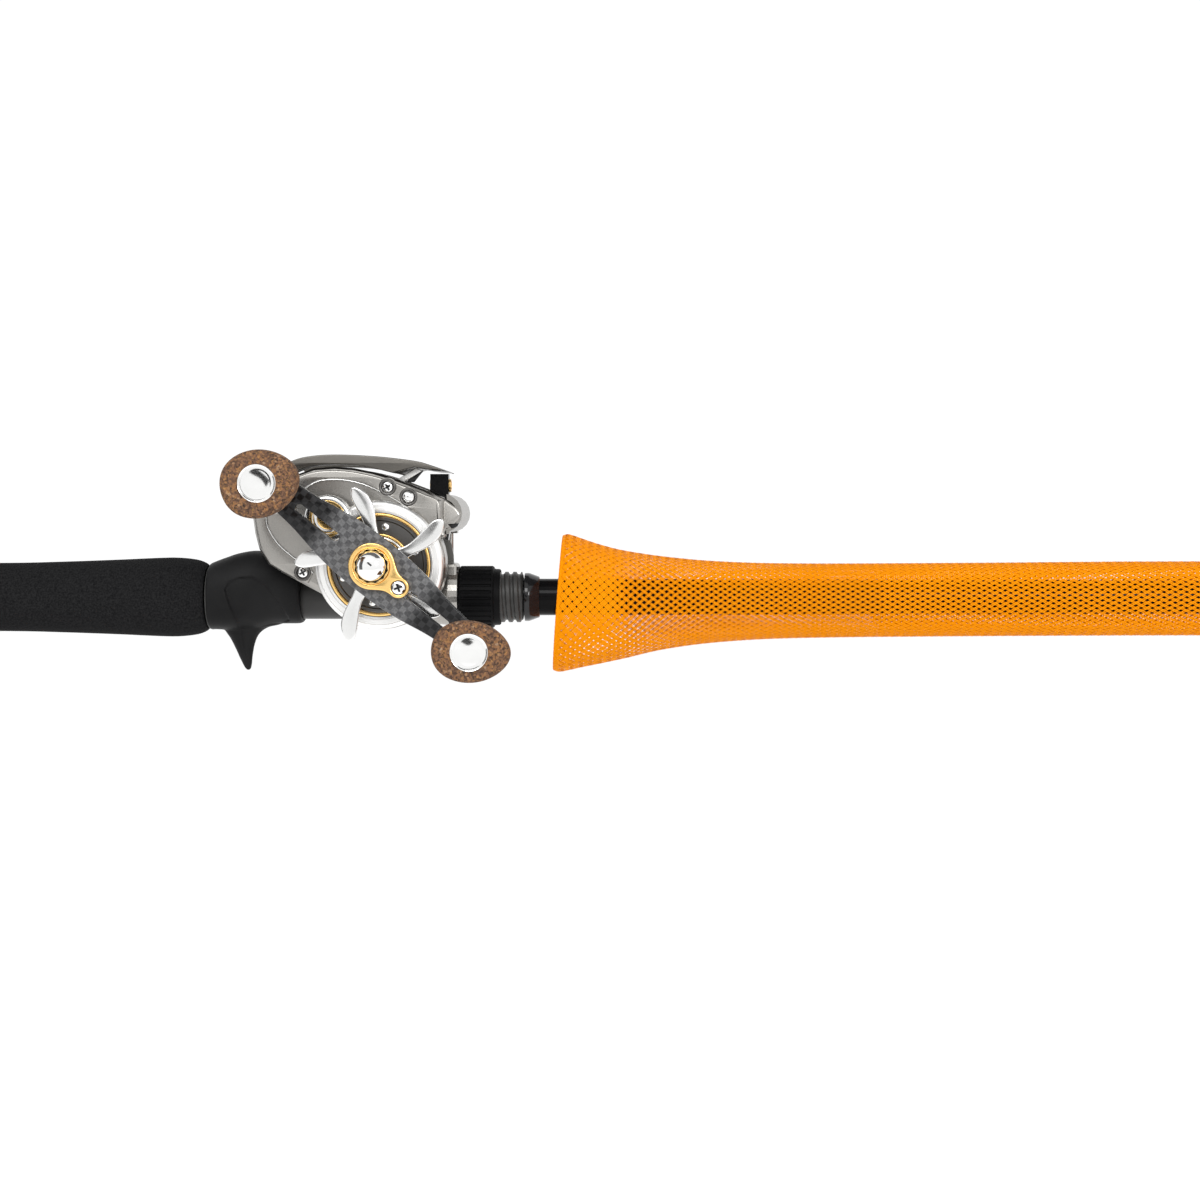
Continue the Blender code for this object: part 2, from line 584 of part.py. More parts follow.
def make_level_wind(worm_phase):
    """The worm turns a threaded shaft behind the nose, and the line guide rides on it."""
    worm = disc("worm_shaft", 2.1, (-12.6, 15.2), "steel", WORM_AXIS, 14)
    cut(worm, worm_groove(2.15, 10.5, 3))
    unite(worm, plate("worm_cog", gear_outline(WORM_AXIS, WORM_TEETH, worm_phase), (15.1, 16.7), "nylon"))
    x, z = WORM_AXIS
    body = [(308.4, 25.6), (315.6, 25.6), (315.8, 34.0), (318.0, 36.0), (318.0, 44.1), (311.4, 44.1),
            (311.4, 36.0), (308.4, 33.6)]
    guide = plate("line_guide", body, (-3.0, 3.0), "seat", [circle_points((x, z), 2.45, 20)])
    cut(guide, turned("eye_bore", [(0, 330), (2.6, 330), (2.6, 300), (0, 300)], "gold", (0, 0, 40.0), segments=24,
                      closed=False))
    turned("line_guide_insert", [(2.3, 318.7), (2.3, 311.2), (1.7, 311.2), (1.4, 315.0), (1.7, 318.7)], "gold",
           (0, 0, 40.0), segments=24)
    disc("guide_pillar", 1.1, (-12.7, 12.7), "steel", (305.6, 28.0), 14)
    bar = [(256.8, 35.0), (258.6, 33.4), (261.0, 34.4), (262.2, 40.4), (261.0, 42.4), (258.0, 41.4)]
    plate("thumb_bar", bar, (-12.4, 12.4), "barrel")


# ---------------------------------------------------------------- handle side


def along_arm(reach, side=0.0):
    """The (x, z) point at a distance along the handle arm and beside its centre line."""
    ahead = Vector((math.cos(ARM_ANGLE), math.sin(ARM_ANGLE)))
    left = Vector((-ahead[1], ahead[0]))
    return GEAR_AXIS + ahead * reach + left * side


def make_handle():
    edge = ((-49.5, 2.0), (-47.5, 4.6), (-43.0, 5.6), (-30.0, 6.6), (-16.0, 8.9), (0.0, 9.4), (16.0, 8.9),
            (30.0, 6.6), (43.0, 5.6), (47.5, 4.6), (49.5, 2.0))
    outline = [along_arm(s, -w) for s, w in edge] + [along_arm(s, w) for s, w in reversed(edge)]
    holes = [circle_points(GEAR_AXIS, 3.4, 20)]
    for side in (-1, 1):
        start, end = sorted((side * 15.5, side * 31.0))
        slot = [along_arm(s, w) for s, w in
                ((start, -0.8), (start + 0.8, -1.25), (end - 0.8, -1.25), (end, -0.8), (end, 0.8),
                 (end - 0.8, 1.25), (start + 0.8, 1.25), (start, 0.8))]
        holes.append(slot)
        holes.append(circle_points(along_arm(side * KNOB_REACH), 2.5, 16))
    screw_at = along_arm(SCREW_REACH)
    holes.append(circle_points(screw_at, 1.5, 12))
    plate("handle_arm", outline, ARM_OUT, "carbon", holes)

    retainer = make_retainer(screw_at)
    cut(retainer, disc("nut_hole", 6.2, (40.0, 60.0), "gold", GEAR_AXIS, 24))
    cut(retainer, disc("screw_hole", 2.5, (40.0, 60.0), "gold", screw_at, 16))
    nut = [(0, 53.4), (2.4, 53.1), (4.2, 52.2), (5.2, 50.6), (5.2, 50.0), (5.8, 49.8), (5.8, 47.1), (0, 47.1)]
    turned("handle_nut", nut, "steel", (GEAR_AXIS[0], 0, GEAR_AXIS[1]), TO_OUT, 24, closed=False)
    screw = disc("retainer_screw", 2.2, (46.7, 49.3), "steel", screw_at, 16, 0.4)
    unite(screw, disc("retainer_screw_stem", 1.2, (43.6, 47.5), "steel", screw_at, 12))
    for name, side in (("upper", -1), ("lower", 1)):
        make_knob(name, along_arm(side * KNOB_REACH))


def make_retainer(screw_at):
    """The drop-shaped plate that locks the handle nut: a round head with a tail to its screw."""
    head = arc(GEAR_AXIS, 7.7, math.degrees(ARM_ANGLE) + 55, math.degrees(ARM_ANGLE) + 305, 22)
    tail = arc(screw_at, 3.4, math.degrees(ARM_ANGLE) - 65, math.degrees(ARM_ANGLE) + 65, 9)
    return plate("nut_retainer", head + tail, (46.7, 48.9), "gold")


def make_knob(name, centre):
    """A cork-rubber paddle knob on its spindle, with a metal end cap."""
    low, high = KNOB_OUT
    count = 18
    shape = ((low, 0.42, 0.46), (low + 1.0, 0.5, 0.55), (low + 6.0, 0.62, 0.66), (low + 12.0, 0.9, 0.9),
             (low + 17.0, 1.0, 1.0), (high - 2.2, 0.97, 0.97), (high, 0.86, 0.86))
    tilt = math.radians(12.0)
    rings = []
    for out, wide, tall in shape:
        points = []
        for i in range(count):
            angle = math.tau * i / count
            u, v = 13.0 * wide * math.cos(angle), 10.6 * tall * math.sin(angle)
            x = centre[0] + u * math.cos(tilt) - v * math.sin(tilt)
            z = centre[1] + u * math.sin(tilt) + v * math.cos(tilt)
            points.append((x, -out, z))
        rings.append(points)
    knob = loft("knob_" + name, rings, "cork")
    cut(knob, disc(f"knob_bore_{name}", 2.3, (40.0, high - 3.0), "cork", centre, 16))
    cut(knob, disc(f"cap_seat_{name}", 6.6, (high - 2.4, 80.0), "cork", centre, 28))
    disc("knob_cap_" + name, 6.3, (high - 2.1, high + 0.6), "steel", centre, 28, 0.5)
    spindle = disc("knob_spindle_" + name, 1.95, (43.2, high - 3.5), "steel", centre, 16)
    unite(spindle, disc(f"spindle_flange_{name}", 3.4, (46.6, 48.2), "steel", centre, 16))


def star_arm(angle, bend):
    """One curved arm's outline: a narrow neck that widens to a leaf and closes to a point."""
    rows = ((6.0, 3.2), (9.0, 2.4), (13.0, 2.2), (17.0, 2.6), (21.0, 2.9), (24.5, 2.6), (26.6, 1.5), (27.5, 0.3))
    left, right = [], []
    for radius, half in rows:
        turn = angle + bend * (radius / STAR_RADIUS) ** 2
        middle = polar(GEAR_AXIS, radius, turn)
        side = Vector((-math.sin(turn), math.cos(turn)))
        left.append(middle + side * half)
        right.append(middle - side * half)
    return right + left[::-1]


def make_star():
    star = disc("star_drag", 7.6, (33.0, 40.0), "steel", GEAR_AXIS, 32, 0.8)
    for i in range(5):
        angle = math.radians(34.0 + 72.0 * i)
        bend = math.radians(12.0)
        unite(star, plate(f"star_arm_{i}", star_arm(angle - bend, bend), STAR_OUT, "steel"))
    cut(star, disc("star_bore", 3.5, (30.0, 44.0), "steel", GEAR_AXIS, 24))
    cap = [(0, 34.9), (5.0, 34.9), (7.6, 34.5), (8.2, 33.4), (8.2, 29.9), (5.1, 29.9), (5.1, 33.4), (0, 33.4)]
    turned("cast_control_cap", cap, "steel", (SPOOL_AXIS[0], 0, SPOOL_AXIS[1]), TO_OUT, 28, closed=False)


# ---------------------------------------------------------------- sleeve


def make_sleeve():
    """The rod sleeve: a flared mouth, a long neck and a narrowed, plugged end."""
    outline = ((356.6, 22.2, -26.4), (358.4, 22.8, -27.2), (363.2, 22.6, -26.9), (368.4, 20.5, -25.3),
               (376.7, 18.0, -23.4), (386.4, 16.2, -21.3), (400.9, 14.2, -18.6), (423.9, 12.8, -16.1),
               (444.1, 12.4, -15.0), (516.0, 12.8, -14.3), (600.0, 13.4, -14.2), (1000.0, 13.4, -13.6),
               (1500.0, 13.2, -13.2), (1990.0, 13.0, -13.0), (2025.0, 10.5, -10.5), (SLEEVE_END - 8.0, 7.4, -7.4),
               (SLEEVE_END, 7.2, -7.2))
    rings = [section(x, top, bottom, (top - bottom) / 2, 16) for x, top, bottom in outline]
    sleeve = loft("sleeve", rings, "orange", capped=False)
    wall = sleeve.modifiers.new("wall", "SOLIDIFY")
    wall.thickness = SLEEVE_WALL * MM
    wall.offset = -1.0
    plug = [(0, SLEEVE_END + 1.5), (5.6, SLEEVE_END + 1.5), (6.05, SLEEVE_END + 0.9), (6.05, SLEEVE_END - 7.0),
            (0, SLEEVE_END - 7.0)]
    turned("sleeve_plug", plug, "seat", segments=24, closed=False)


def main():
    make_rod()
    for number, x in enumerate(GUIDE_PLACES, 1):
        make_guide(f"guide_{number}", x)
    make_tip_top()
    make_seat()
    make_barrel()
    make_hood_and_nut()
    make_foot()
    make_gear_cover()
    make_cover_trim()
    make_frame()
    make_visor()
    make_palm_cover()
    make_spool()
    make_level_wind(make_gears())
    make_handle()
    make_star()
    make_sleeve()


main()
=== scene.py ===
"""Looks of the fishing rod and reel: detailed pieces, materials, camera and light.

Lengths are millimetres in the row frame unless a name says otherwise, and MM turns them into metres.
"Out" is the distance from the rod's middle plane towards the handle, so y is minus out.
"""

import math

import bmesh
import bpy
from mathutils import Matrix, Vector


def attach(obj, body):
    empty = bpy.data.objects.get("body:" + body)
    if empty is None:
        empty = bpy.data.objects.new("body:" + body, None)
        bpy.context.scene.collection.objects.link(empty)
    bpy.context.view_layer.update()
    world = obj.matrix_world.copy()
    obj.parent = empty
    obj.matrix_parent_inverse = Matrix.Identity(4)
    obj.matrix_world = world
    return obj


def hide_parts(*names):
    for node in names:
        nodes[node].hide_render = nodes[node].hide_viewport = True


MM = 0.001
GEAR_AXIS = (296.0, 12.3)  # (x, z) of the handle's shaft
SPOOL_AXIS = (279.316, 28.132)
KNOB_UPPER = (262.129, 39.436)
KNOB_LOWER = (329.871, -14.836)
ARM_ANGLE = math.radians(-38.7)
SCREW_FRONT = (298.8, 39.0)
SCREW_REAR = (269.4, 9.6)
LUBE_PORT = (306.0, 35.6)
RETAINER_SCREW = 11.4  # from the gear axis, along the arm

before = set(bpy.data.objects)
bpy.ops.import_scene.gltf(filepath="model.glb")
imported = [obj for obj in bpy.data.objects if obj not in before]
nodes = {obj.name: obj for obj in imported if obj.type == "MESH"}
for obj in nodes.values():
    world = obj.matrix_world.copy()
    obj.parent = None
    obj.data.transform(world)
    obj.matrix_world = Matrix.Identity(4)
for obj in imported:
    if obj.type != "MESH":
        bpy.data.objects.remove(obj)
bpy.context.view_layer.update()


# ---------------------------------------------------------------- materials


class Look:
    """A procedural material under construction."""

    def __init__(self, name, color, roughness, metallic=0.0, coords="Object"):
        self.material = bpy.data.materials.new(name)
        self.material.use_nodes = True
        self.tree = self.material.node_tree
        self.shader = self.tree.nodes["Principled BSDF"]
        self.set("Base Color", (*color, 1.0))
        self.set("Roughness", roughness)
        self.set("Metallic", metallic)
        self.coords = self.tree.nodes.new("ShaderNodeTexCoord").outputs[coords]
        self.normal = None

    def set(self, socket, value):
        self.shader.inputs[socket].default_value = value

    def link(self, output, node, socket):
        self.tree.links.new(output, node.inputs[socket])

    def noise(self, size_mm, detail=2.0):
        texture = self.tree.nodes.new("ShaderNodeTexNoise")
        texture.inputs["Scale"].default_value = 1000.0 / size_mm
        texture.inputs["Detail"].default_value = detail
        self.link(self.coords, texture, "Vector")
        return texture.outputs["Fac"]

    def cells(self, size_mm):
        texture = self.tree.nodes.new("ShaderNodeTexVoronoi")
        texture.inputs["Scale"].default_value = 1000.0 / size_mm
        self.link(self.coords, texture, "Vector")
        return texture

    def ramp(self, source, stops):
        ramp = self.tree.nodes.new("ShaderNodeValToRGB")
        elements = ramp.color_ramp.elements
        while len(elements) < len(stops):
            elements.new(0.5)
        for element, (place, color) in zip(elements, stops):
            element.position = place
            element.color = (*color, 1.0)
        self.link(source, ramp, "Fac")
        return ramp.outputs["Color"]

    def grey(self, source, low, high, start=0.3, end=0.7):
        """A value that runs from low to high as source goes from start to end."""
        remap = self.tree.nodes.new("ShaderNodeMapRange")
        for socket, value in (("From Min", start), ("From Max", end), ("To Min", low), ("To Max", high)):
            remap.inputs[socket].default_value = value
        self.link(source, remap, "Value")
        return remap.outputs["Result"]

    def mix(self, factor, one, two):
        """A colour that runs from one to two; each is a colour or a node's output."""
        mixer = self.tree.nodes.new("ShaderNodeMix")
        mixer.data_type = "RGBA"
        if isinstance(factor, float):
            mixer.inputs["Factor"].default_value = factor
        else:
            self.link(factor, mixer, "Factor")
        for socket, value in ((6, one), (7, two)):
            if isinstance(value, tuple):
                mixer.inputs[socket].default_value = (*value, 1.0)
            else:
                self.tree.links.new(value, mixer.inputs[socket])
        return mixer.outputs[2]

    def axis(self, letter):
        """One coordinate of the texture space."""
        split = self.tree.nodes.new("ShaderNodeSeparateXYZ")
        self.link(self.coords, split, "Vector")
        return split.outputs[letter]

    def compute(self, operation, source, other=0.0):
        node = self.tree.nodes.new("ShaderNodeMath")
        node.operation = operation
        node.inputs[1].default_value = other
        self.link(source, node, 0)
        return node.outputs[0]

    def color(self, output):
        self.link(output, self.shader, "Base Color")

    def rough(self, output):
        self.link(output, self.shader, "Roughness")

    def bump(self, height, depth_mm, strength=1.0):
        bump = self.tree.nodes.new("ShaderNodeBump")
        bump.inputs["Strength"].default_value = strength
        bump.inputs["Distance"].default_value = depth_mm * MM
        self.link(height, bump, "Height")
        if self.normal is not None:
            self.link(self.normal, bump, "Normal")
        self.normal = bump.outputs["Normal"]
        self.link(self.normal, self.shader, "Normal")


def metal(name, color, roughness, grain_mm=0.0012):
    """A cast or turned metal: fine grain, soft large patches and slightly uneven polish."""
    look = Look(name, color, roughness, 1.0)
    patches = look.noise(9.0)
    fine = look.noise(0.35)
    darker = tuple(c * 0.93 for c in color)
    look.color(look.mix(look.grey(patches, 0.0, 1.0), darker, color))
    look.rough(look.grey(fine, roughness * 0.86, roughness * 1.14))
    look.bump(fine, grain_mm)
    return look.material


def plastic(name, color, roughness, grain_mm, depth_mm, coat=0.0, shine=0.5):
    """A moulded or lacquered surface; shine scales its plain reflection and coat adds a clear layer."""
    look = Look(name, color, roughness)
    fine = look.noise(grain_mm, 3.0)
    patches = look.noise(14.0)
    lighter = tuple(c * 1.5 + 0.002 for c in color)
    look.color(look.mix(look.grey(patches, 0.0, 1.0), color, lighter))
    look.rough(look.grey(fine, roughness * 0.85, roughness * 1.15))
    look.bump(fine, depth_mm)
    look.set("Specular IOR Level", shine)
    look.set("Coat Weight", coat)
    look.set("Coat Roughness", 0.04)
    return look.material


def cork_material():
    """Ground cork bound in rubber: brown grains with black, ochre and pale specks."""
    look = Look("cork_rubber", (0.26, 0.14, 0.08), 0.75)
    look.set("Specular IOR Level", 0.2)
    grains = look.cells(0.75)
    brown = look.ramp(grains.outputs["Color"], [
        (0.0, (0.008, 0.007, 0.007)), (0.25, (0.035, 0.02, 0.014)), (0.45, (0.095, 0.05, 0.032)),
        (0.62, (0.16, 0.08, 0.045)), (0.8, (0.28, 0.13, 0.045)), (1.0, (0.34, 0.26, 0.19))])
    fine = look.cells(0.42)
    specks = look.ramp(fine.outputs["Color"], [
        (0.0, (0.008, 0.007, 0.007)), (0.35, (0.10, 0.055, 0.035)), (0.7, (0.17, 0.09, 0.05)),
        (1.0, (0.42, 0.23, 0.06))])
    look.color(look.mix(0.42, brown, specks))
    look.bump(grains.outputs["Distance"], 0.12, 0.8)
    look.bump(look.noise(0.25), 0.05)
    return look.material


TOW_WIDTH = 2.0
PAINTED_SHADE_REACH = (18.0, 23.0)  # along the arm, where the painted reflection of the middle gives way to painted shade at the ends


def carbon_material():
    """Twill cloth under clear resin, with a painted reflection lightening its middle and painted shade
    darkening both ends; the piece's UV map is in millimetres along and across the arm.
    """
    look = Look("carbon_weave", (0.02, 0.02, 0.022), 0.4, 0.35, "UV")
    checks = look.tree.nodes.new("ShaderNodeTexChecker")
    checks.inputs["Scale"].default_value = 1.0 / TOW_WIDTH
    look.link(look.coords, checks, "Vector")
    tows = look.noise(700.0)
    light = look.mix(look.grey(tows, 0.0, 1.0), (0.09, 0.09, 0.092), (0.15, 0.15, 0.153))
    dark = look.mix(look.grey(tows, 0.0, 1.0), (0.05, 0.05, 0.052), (0.095, 0.095, 0.098))
    # Painted reflection: the whole middle of the arm is painted lighter, as if its flat face caught the
    # light.
    middle = look.mix(checks.outputs["Fac"], dark, light)
    # Painted shade: the ends are painted nearly black, as if they bowed away from the light; their faint
    # checks keep the weave.
    painted_shade_ends = look.mix(checks.outputs["Fac"], (0.004, 0.004, 0.0045), (0.016, 0.016, 0.017))
    reach = look.compute("ABSOLUTE", look.axis("X"))
    # Across the reach given near the top, the painted-light middle gives way to the painted-shade ends.
    look.color(look.mix(look.grey(reach, 0.0, 1.0, *PAINTED_SHADE_REACH), middle, painted_shade_ends))
    look.rough(look.grey(checks.outputs["Fac"], 0.28, 0.5, 0.0, 1.0))
    look.bump(checks.outputs["Fac"], 0.01)
    look.set("Specular IOR Level", 0.3)
    look.set("Coat Weight", 0.3)
    look.set("Coat Roughness", 0.06)
    return look.material


def braid_material():
    """Orange monofilament with a painted glow, painted shade where a strand dips under the other set and
    painted shade in the gaps between its threads: u runs across a strand and v is even where the strand lies
    on top.
    """
    look = Look("orange_braid", (1.0, 0.31, 0.004), 0.42, 0.0, "UV")
    look.set("Specular IOR Level", 0.015)
    # Painted glow: an orange emission stands in for light shining through the translucent strands.
    look.set("Emission Color", (1.0, 0.28, 0.0, 1.0))
    look.set("Emission Strength", 0.2)
    threads = look.tree.nodes.new("ShaderNodeTexWave")
    threads.wave_type = "BANDS"
    threads.bands_direction = "X"
    threads.inputs["Scale"].default_value = 0.95
    look.link(look.coords, threads, "Vector")
    tint = look.grey(look.noise(40.0), 0.0, 1.0)
    lit = look.mix(tint, (0.74, 0.25, 0.001), (0.88, 0.35, 0.004))
    height = look.compute("COSINE", look.compute("MULTIPLY", look.axis("Y"), math.pi))
    # Painted shade: strands are painted darker where they dip under the other set at a crossing.
    under_crossing_shade = look.mix(look.grey(height, 0.0, 1.0, -0.9, 0.3), (0.47, 0.105, 0.0005), lit)
    # Painted shade: bands across each strand, between its threads, are painted darker.
    thread_gap_shade = look.grey(threads.outputs["Fac"], 0.0, 1.0, 0.0, 0.5)
    look.color(look.mix(thread_gap_shade, (0.50, 0.11, 0.001), under_crossing_shade))
    look.bump(threads.outputs["Fac"], 0.08, 0.6)
    return look.material


def foam_material():
    look = Look("eva_foam", (0.009, 0.009, 0.0095), 0.82)
    look.set("Specular IOR Level", 0.04)
    pores = look.cells(0.7)
    shade = look.grey(look.noise(0.6, 3.0), 0.0, 1.0)
    look.color(look.mix(shade, (0.005, 0.005, 0.0055), (0.016, 0.016, 0.0165)))
    look.bump(pores.outputs["Distance"], 0.1, 0.6)
    look.bump(look.noise(0.3), 0.06)
    return look.material


LOOKS = {
    "foam": foam_material(),
    "blank": plastic("gloss_blank", (0.0025, 0.0025, 0.0028), 0.10, 0.8, 0.002, 0.05, 0.05),
    "seat": plastic("soft_touch_seat", (0.0055, 0.0055, 0.0057), 0.5, 0.28, 0.012, 0.0, 0.11),
    "nut": plastic("ribbed_nut_plastic", (0.002, 0.002, 0.0022), 0.45, 0.3, 0.008, 0.0, 0.045),
    "barrel": plastic("satin_tube", (0.026, 0.0255, 0.0245), 0.4, 0.4, 0.008, 0.0, 0.25),
    "silver": metal("pewter_silver", (0.37, 0.357, 0.335), 0.3, 0.0015),
    "dusk": metal("dark_pewter", (0.135, 0.127, 0.115), 0.32, 0.0015),
    "frame": metal("frame_pewter", (0.33, 0.32, 0.30), 0.32, 0.0015),
    "steel": metal("polished_steel", (0.86, 0.86, 0.85), 0.16),
    "chrome": metal("bright_chrome", (0.94, 0.94, 0.93), 0.08, 0.00045),
    "gold": metal("gold_anodised", (1.0, 0.66, 0.24), 0.22),
    "brass": metal("brass_gear", (0.80, 0.58, 0.25), 0.28),
    "carbon": carbon_material(),
    "cork": cork_material(),
    "orange": braid_material(),
    "nylon": plastic("white_nylon", (0.75, 0.73, 0.66), 0.4, 0.5, 0.01),
    "face": metal("bright_drum_face", (0.95, 0.945, 0.93), 0.36, 0.0009),
    "well": metal("dark_drag_well", (0.13, 0.125, 0.12), 0.34),
    "gloss": plastic("gloss_black", (0.004, 0.004, 0.0045), 0.14, 0.6, 0.003, 0.3, 0.25),
}


# ---------------------------------------------------------------- shapes


def clamp(value):
    return max(0.0, min(1.0, value))


def place_mesh(name, mesh):
    item = bpy.data.objects.new(name, mesh)
    bpy.context.scene.collection.objects.link(item)
    return item


def solid(name, verts, faces):
    """An object from millimetre points, with no look or body yet."""
    mesh = bpy.data.meshes.new(name)
    mesh.from_pydata([Vector(v) * MM for v in verts], [], faces)
    return place_mesh(name, mesh)


def piece(name, verts, faces, look, body, replaces=(), uvs=None):
    """A mesh piece from millimetre points, riding a body and optionally standing for CAD nodes."""
    item = solid(name, verts, faces)
    if uvs:
        layer = item.data.uv_layers.new(name="UVMap")
        for loop in item.data.loops:
            layer.data[loop.index].uv = uvs[loop.vertex_index]
    item.data.validate()
    item.data.shade_smooth()
    return dress(item, look, body, replaces)


def paint(item, look):
    item.data.materials.clear()
    item.data.materials.append(LOOKS[look])


def dress(item, look, body, replaces=()):
    """Gives an object its look, its body and the CAD nodes that it stands for."""
    paint(item, look)
    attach(item, body)
    if replaces:
        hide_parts(*replaces)
    return item


def rounded(points, size, steps=4):
    """The line with each inner corner turned into a short curve."""
    line = [tuple(points[0])]
    for a, b, c in zip(points, points[1:], points[2:]):
        a, b, c = Vector(a), Vector(b), Vector(c)
        near, far = (a - b), (c - b)
        p = b + near * min(0.45, size / max(near.length, 1e-6))
        q = b + far * min(0.45, size / max(far.length, 1e-6))
        for k in range(steps + 1):
            t = k / steps
            line.append(tuple(p * (1 - t) ** 2 + b * (2 * t * (1 - t)) + q * t * t))
    line.append(tuple(points[-1]))
    return line


def spline(points, count):
    """Evenly numbered points on a smooth curve through the given ones."""
    pts = [Vector(p) for p in points]
    out = []
    for k in range(count):
        s = k / (count - 1) * (len(pts) - 1)
        i = min(int(s), len(pts) - 2)
        t = s - i
        p0, p1, p2, p3 = pts[max(i - 1, 0)], pts[i], pts[i + 1], pts[min(i + 2, len(pts) - 1)]
        out.append(((p1 * 2) + (p2 - p0) * t + (p0 * 2 - p1 * 5 + p2 * 4 - p3) * t * t
                    + (p1 * 3 - p0 - p2 * 3 + p3) * t ** 3) * 0.5)
    return out


def flat_spline(points, count):
    """A smooth (x, z) line through the given points."""
    return [tuple(p)[:2] for p in spline([(*p, 0.0) for p in points], count)]


def grid_faces(rows, around, caps=True):
    """Faces of a tube of rows x around points."""
    faces = []
    for r in range(rows - 1):
        for i in range(around):
            j = (i + 1) % around
            faces.append((r * around + i, r * around + j, (r + 1) * around + j, (r + 1) * around + i))
    if caps:
        faces.append(tuple(reversed(range(around))))
        faces.append(tuple((rows - 1) * around + i for i in range(around)))
    return faces


def lathe(name, profile, look, body, centre=None, replaces=(), segments=72, change=None, cyclic=False):
    """A turned piece. profile is (radius, out) about centre (x, z), or (radius, x) about the rod's axis."""
    if cyclic:
        profile = [*profile, profile[0]]
    verts = []
    for radius, along in profile:
        for i in range(segments):
            angle = math.tau * i / segments
            r = radius if change is None else change(radius, along, angle)
            c, s = r * math.cos(angle), r * math.sin(angle)
            verts.append((centre[0] + c, -along, centre[1] + s) if centre else (along, c, s))
    item = piece(name, verts, grid_faces(len(profile), segments, caps=not cyclic), look, body, replaces)
    weld(item)
    return item


WELD_METRES = 0.000002


def weld(item):
    """Joins coincident points, turns the faces outwards and sets the sharp edges."""
    shape = bmesh.new()
    shape.from_mesh(item.data)
    bmesh.ops.remove_doubles(shape, verts=shape.verts, dist=WELD_METRES)
    bmesh.ops.recalc_face_normals(shape, faces=shape.faces)
    shape.to_mesh(item.data)
    shape.free()
    sharpen(item)


def sharpen(item, angle=38.0):
    item.data.shade_smooth()
    item.data.set_sharp_from_angle(angle=math.radians(angle))


def curve_to_mesh(name, curve):
    source = place_mesh(name + "_curve", curve)
    bpy.context.view_layer.update()
    mesh = bpy.data.meshes.new_from_object(source.evaluated_get(bpy.context.evaluated_depsgraph_get()))
    bpy.data.objects.remove(source, do_unlink=True)
    return mesh


def plate(name, outline, out, look, body, holes=(), edge=0.25, replaces=(), uv_along=None):
    """A flat piece with rounded edges across the reel, from (x, z) points."""
    curve = bpy.data.curves.new(name, "CURVE")
    curve.dimensions = "2D"
    curve.fill_mode = "BOTH"
    curve.extrude = ((out[1] - out[0]) / 2 - edge) * MM
    curve.bevel_depth = edge * MM
    curve.bevel_resolution = 2
    curve.offset = -edge * MM
    for points in (outline, *holes):
        line = curve.splines.new("POLY")
        line.points.add(len(points) - 1)
        for knot, p in zip(line.points, points):
            knot.co = (p[0] * MM, p[1] * MM, 0.0, 1.0)
        line.use_cyclic_u = True
    mesh = curve_to_mesh(name, curve)
    middle = -(out[0] + out[1]) / 2 * MM
    for vert in mesh.vertices:
        x, y, z = vert.co
        vert.co = (x, middle - z, y)
    item = place_mesh(name, mesh)
    weld(item)
    if uv_along is not None:
        add_uv(item, uv_along)
    return dress(item, look, body, replaces)


def add_uv(item, angle):
    """UVs in millimetres along and across a direction in the reel's side plane."""
    while item.data.uv_layers:
        item.data.uv_layers.remove(item.data.uv_layers[0])
    layer = item.data.uv_layers.new(name="UVMap")
    c, s = math.cos(angle), math.sin(angle)
    for loop in item.data.loops:
        co = item.data.vertices[loop.vertex_index].co / MM
        x, z = co.x - GEAR_AXIS[0], co.z - GEAR_AXIS[1]
        layer.data[loop.index].uv = (x * c + z * s, -x * s + z * c)


def polar(centre, radius, angle):
    return (centre[0] + radius * math.cos(angle), centre[1] + radius * math.sin(angle))


def along_arm(reach, side=0.0):
    """A point (x, z) from the gear axis, along and across the handle's arm."""
    c, s = math.cos(ARM_ANGLE), math.sin(ARM_ANGLE)
    return (GEAR_AXIS[0] + c * reach - s * side, GEAR_AXIS[1] + s * reach + c * side)


def circle(centre, radius, count=48):
    return [polar(centre, radius, math.tau * i / count) for i in range(count)]


def wire(name, points, radius, look, body):
    """A raised round line through (x, out, z) points."""
    curve = bpy.data.curves.new(name, "CURVE")
    curve.dimensions = "3D"
    curve.bevel_depth = radius * MM
    curve.bevel_resolution = 3
    curve.use_fill_caps = True
    line = curve.splines.new("POLY")
    line.points.add(len(points) - 1)
    for knot, (x, out, z) in zip(line.points, points):
        knot.co = (x * MM, -out * MM, z * MM, 1.0)
    item = place_mesh(name, curve_to_mesh(name, curve))
    item.data.shade_smooth()
    return dress(item, look, body)


def apply_boolean(item, other, operation="DIFFERENCE"):
    """Applies a Boolean at once and removes the other object."""
    change = item.modifiers.new("cut", "BOOLEAN")
    change.operation = operation
    change.object = other
    change.solver = "EXACT"
    bake(item)
    bpy.data.objects.remove(other, do_unlink=True)


def bake(item):
    """Applies the modifiers to the item's own mesh."""
    bpy.context.view_layer.update()
    graph = bpy.context.evaluated_depsgraph_get()
    mesh = bpy.data.meshes.new_from_object(item.evaluated_get(graph))
    item.modifiers.clear()
    item.data = mesh


# ---------------------------------------------------------------- rod


BLANK_LINE = [(7.3, 8.0), (6.6, 350.0), (6.1, 572.0), (3.4, 1300.0), (1.0, 2020.0)]
GUIDES = (720.0, 950.0, 1150.0, 1325.0, 1480.0, 1620.0, 1745.0, 1860.0)


def blank_radius(x):
    """The blank's radius at x, from its (radius, x) stations."""
    for (r0, x0), (r1, x1) in zip(BLANK_LINE, BLANK_LINE[1:]):
        if x <= x1:
            return r0 + (r1 - r0) * (x - x0) / (x1 - x0)
    return BLANK_LINE[-1][0]


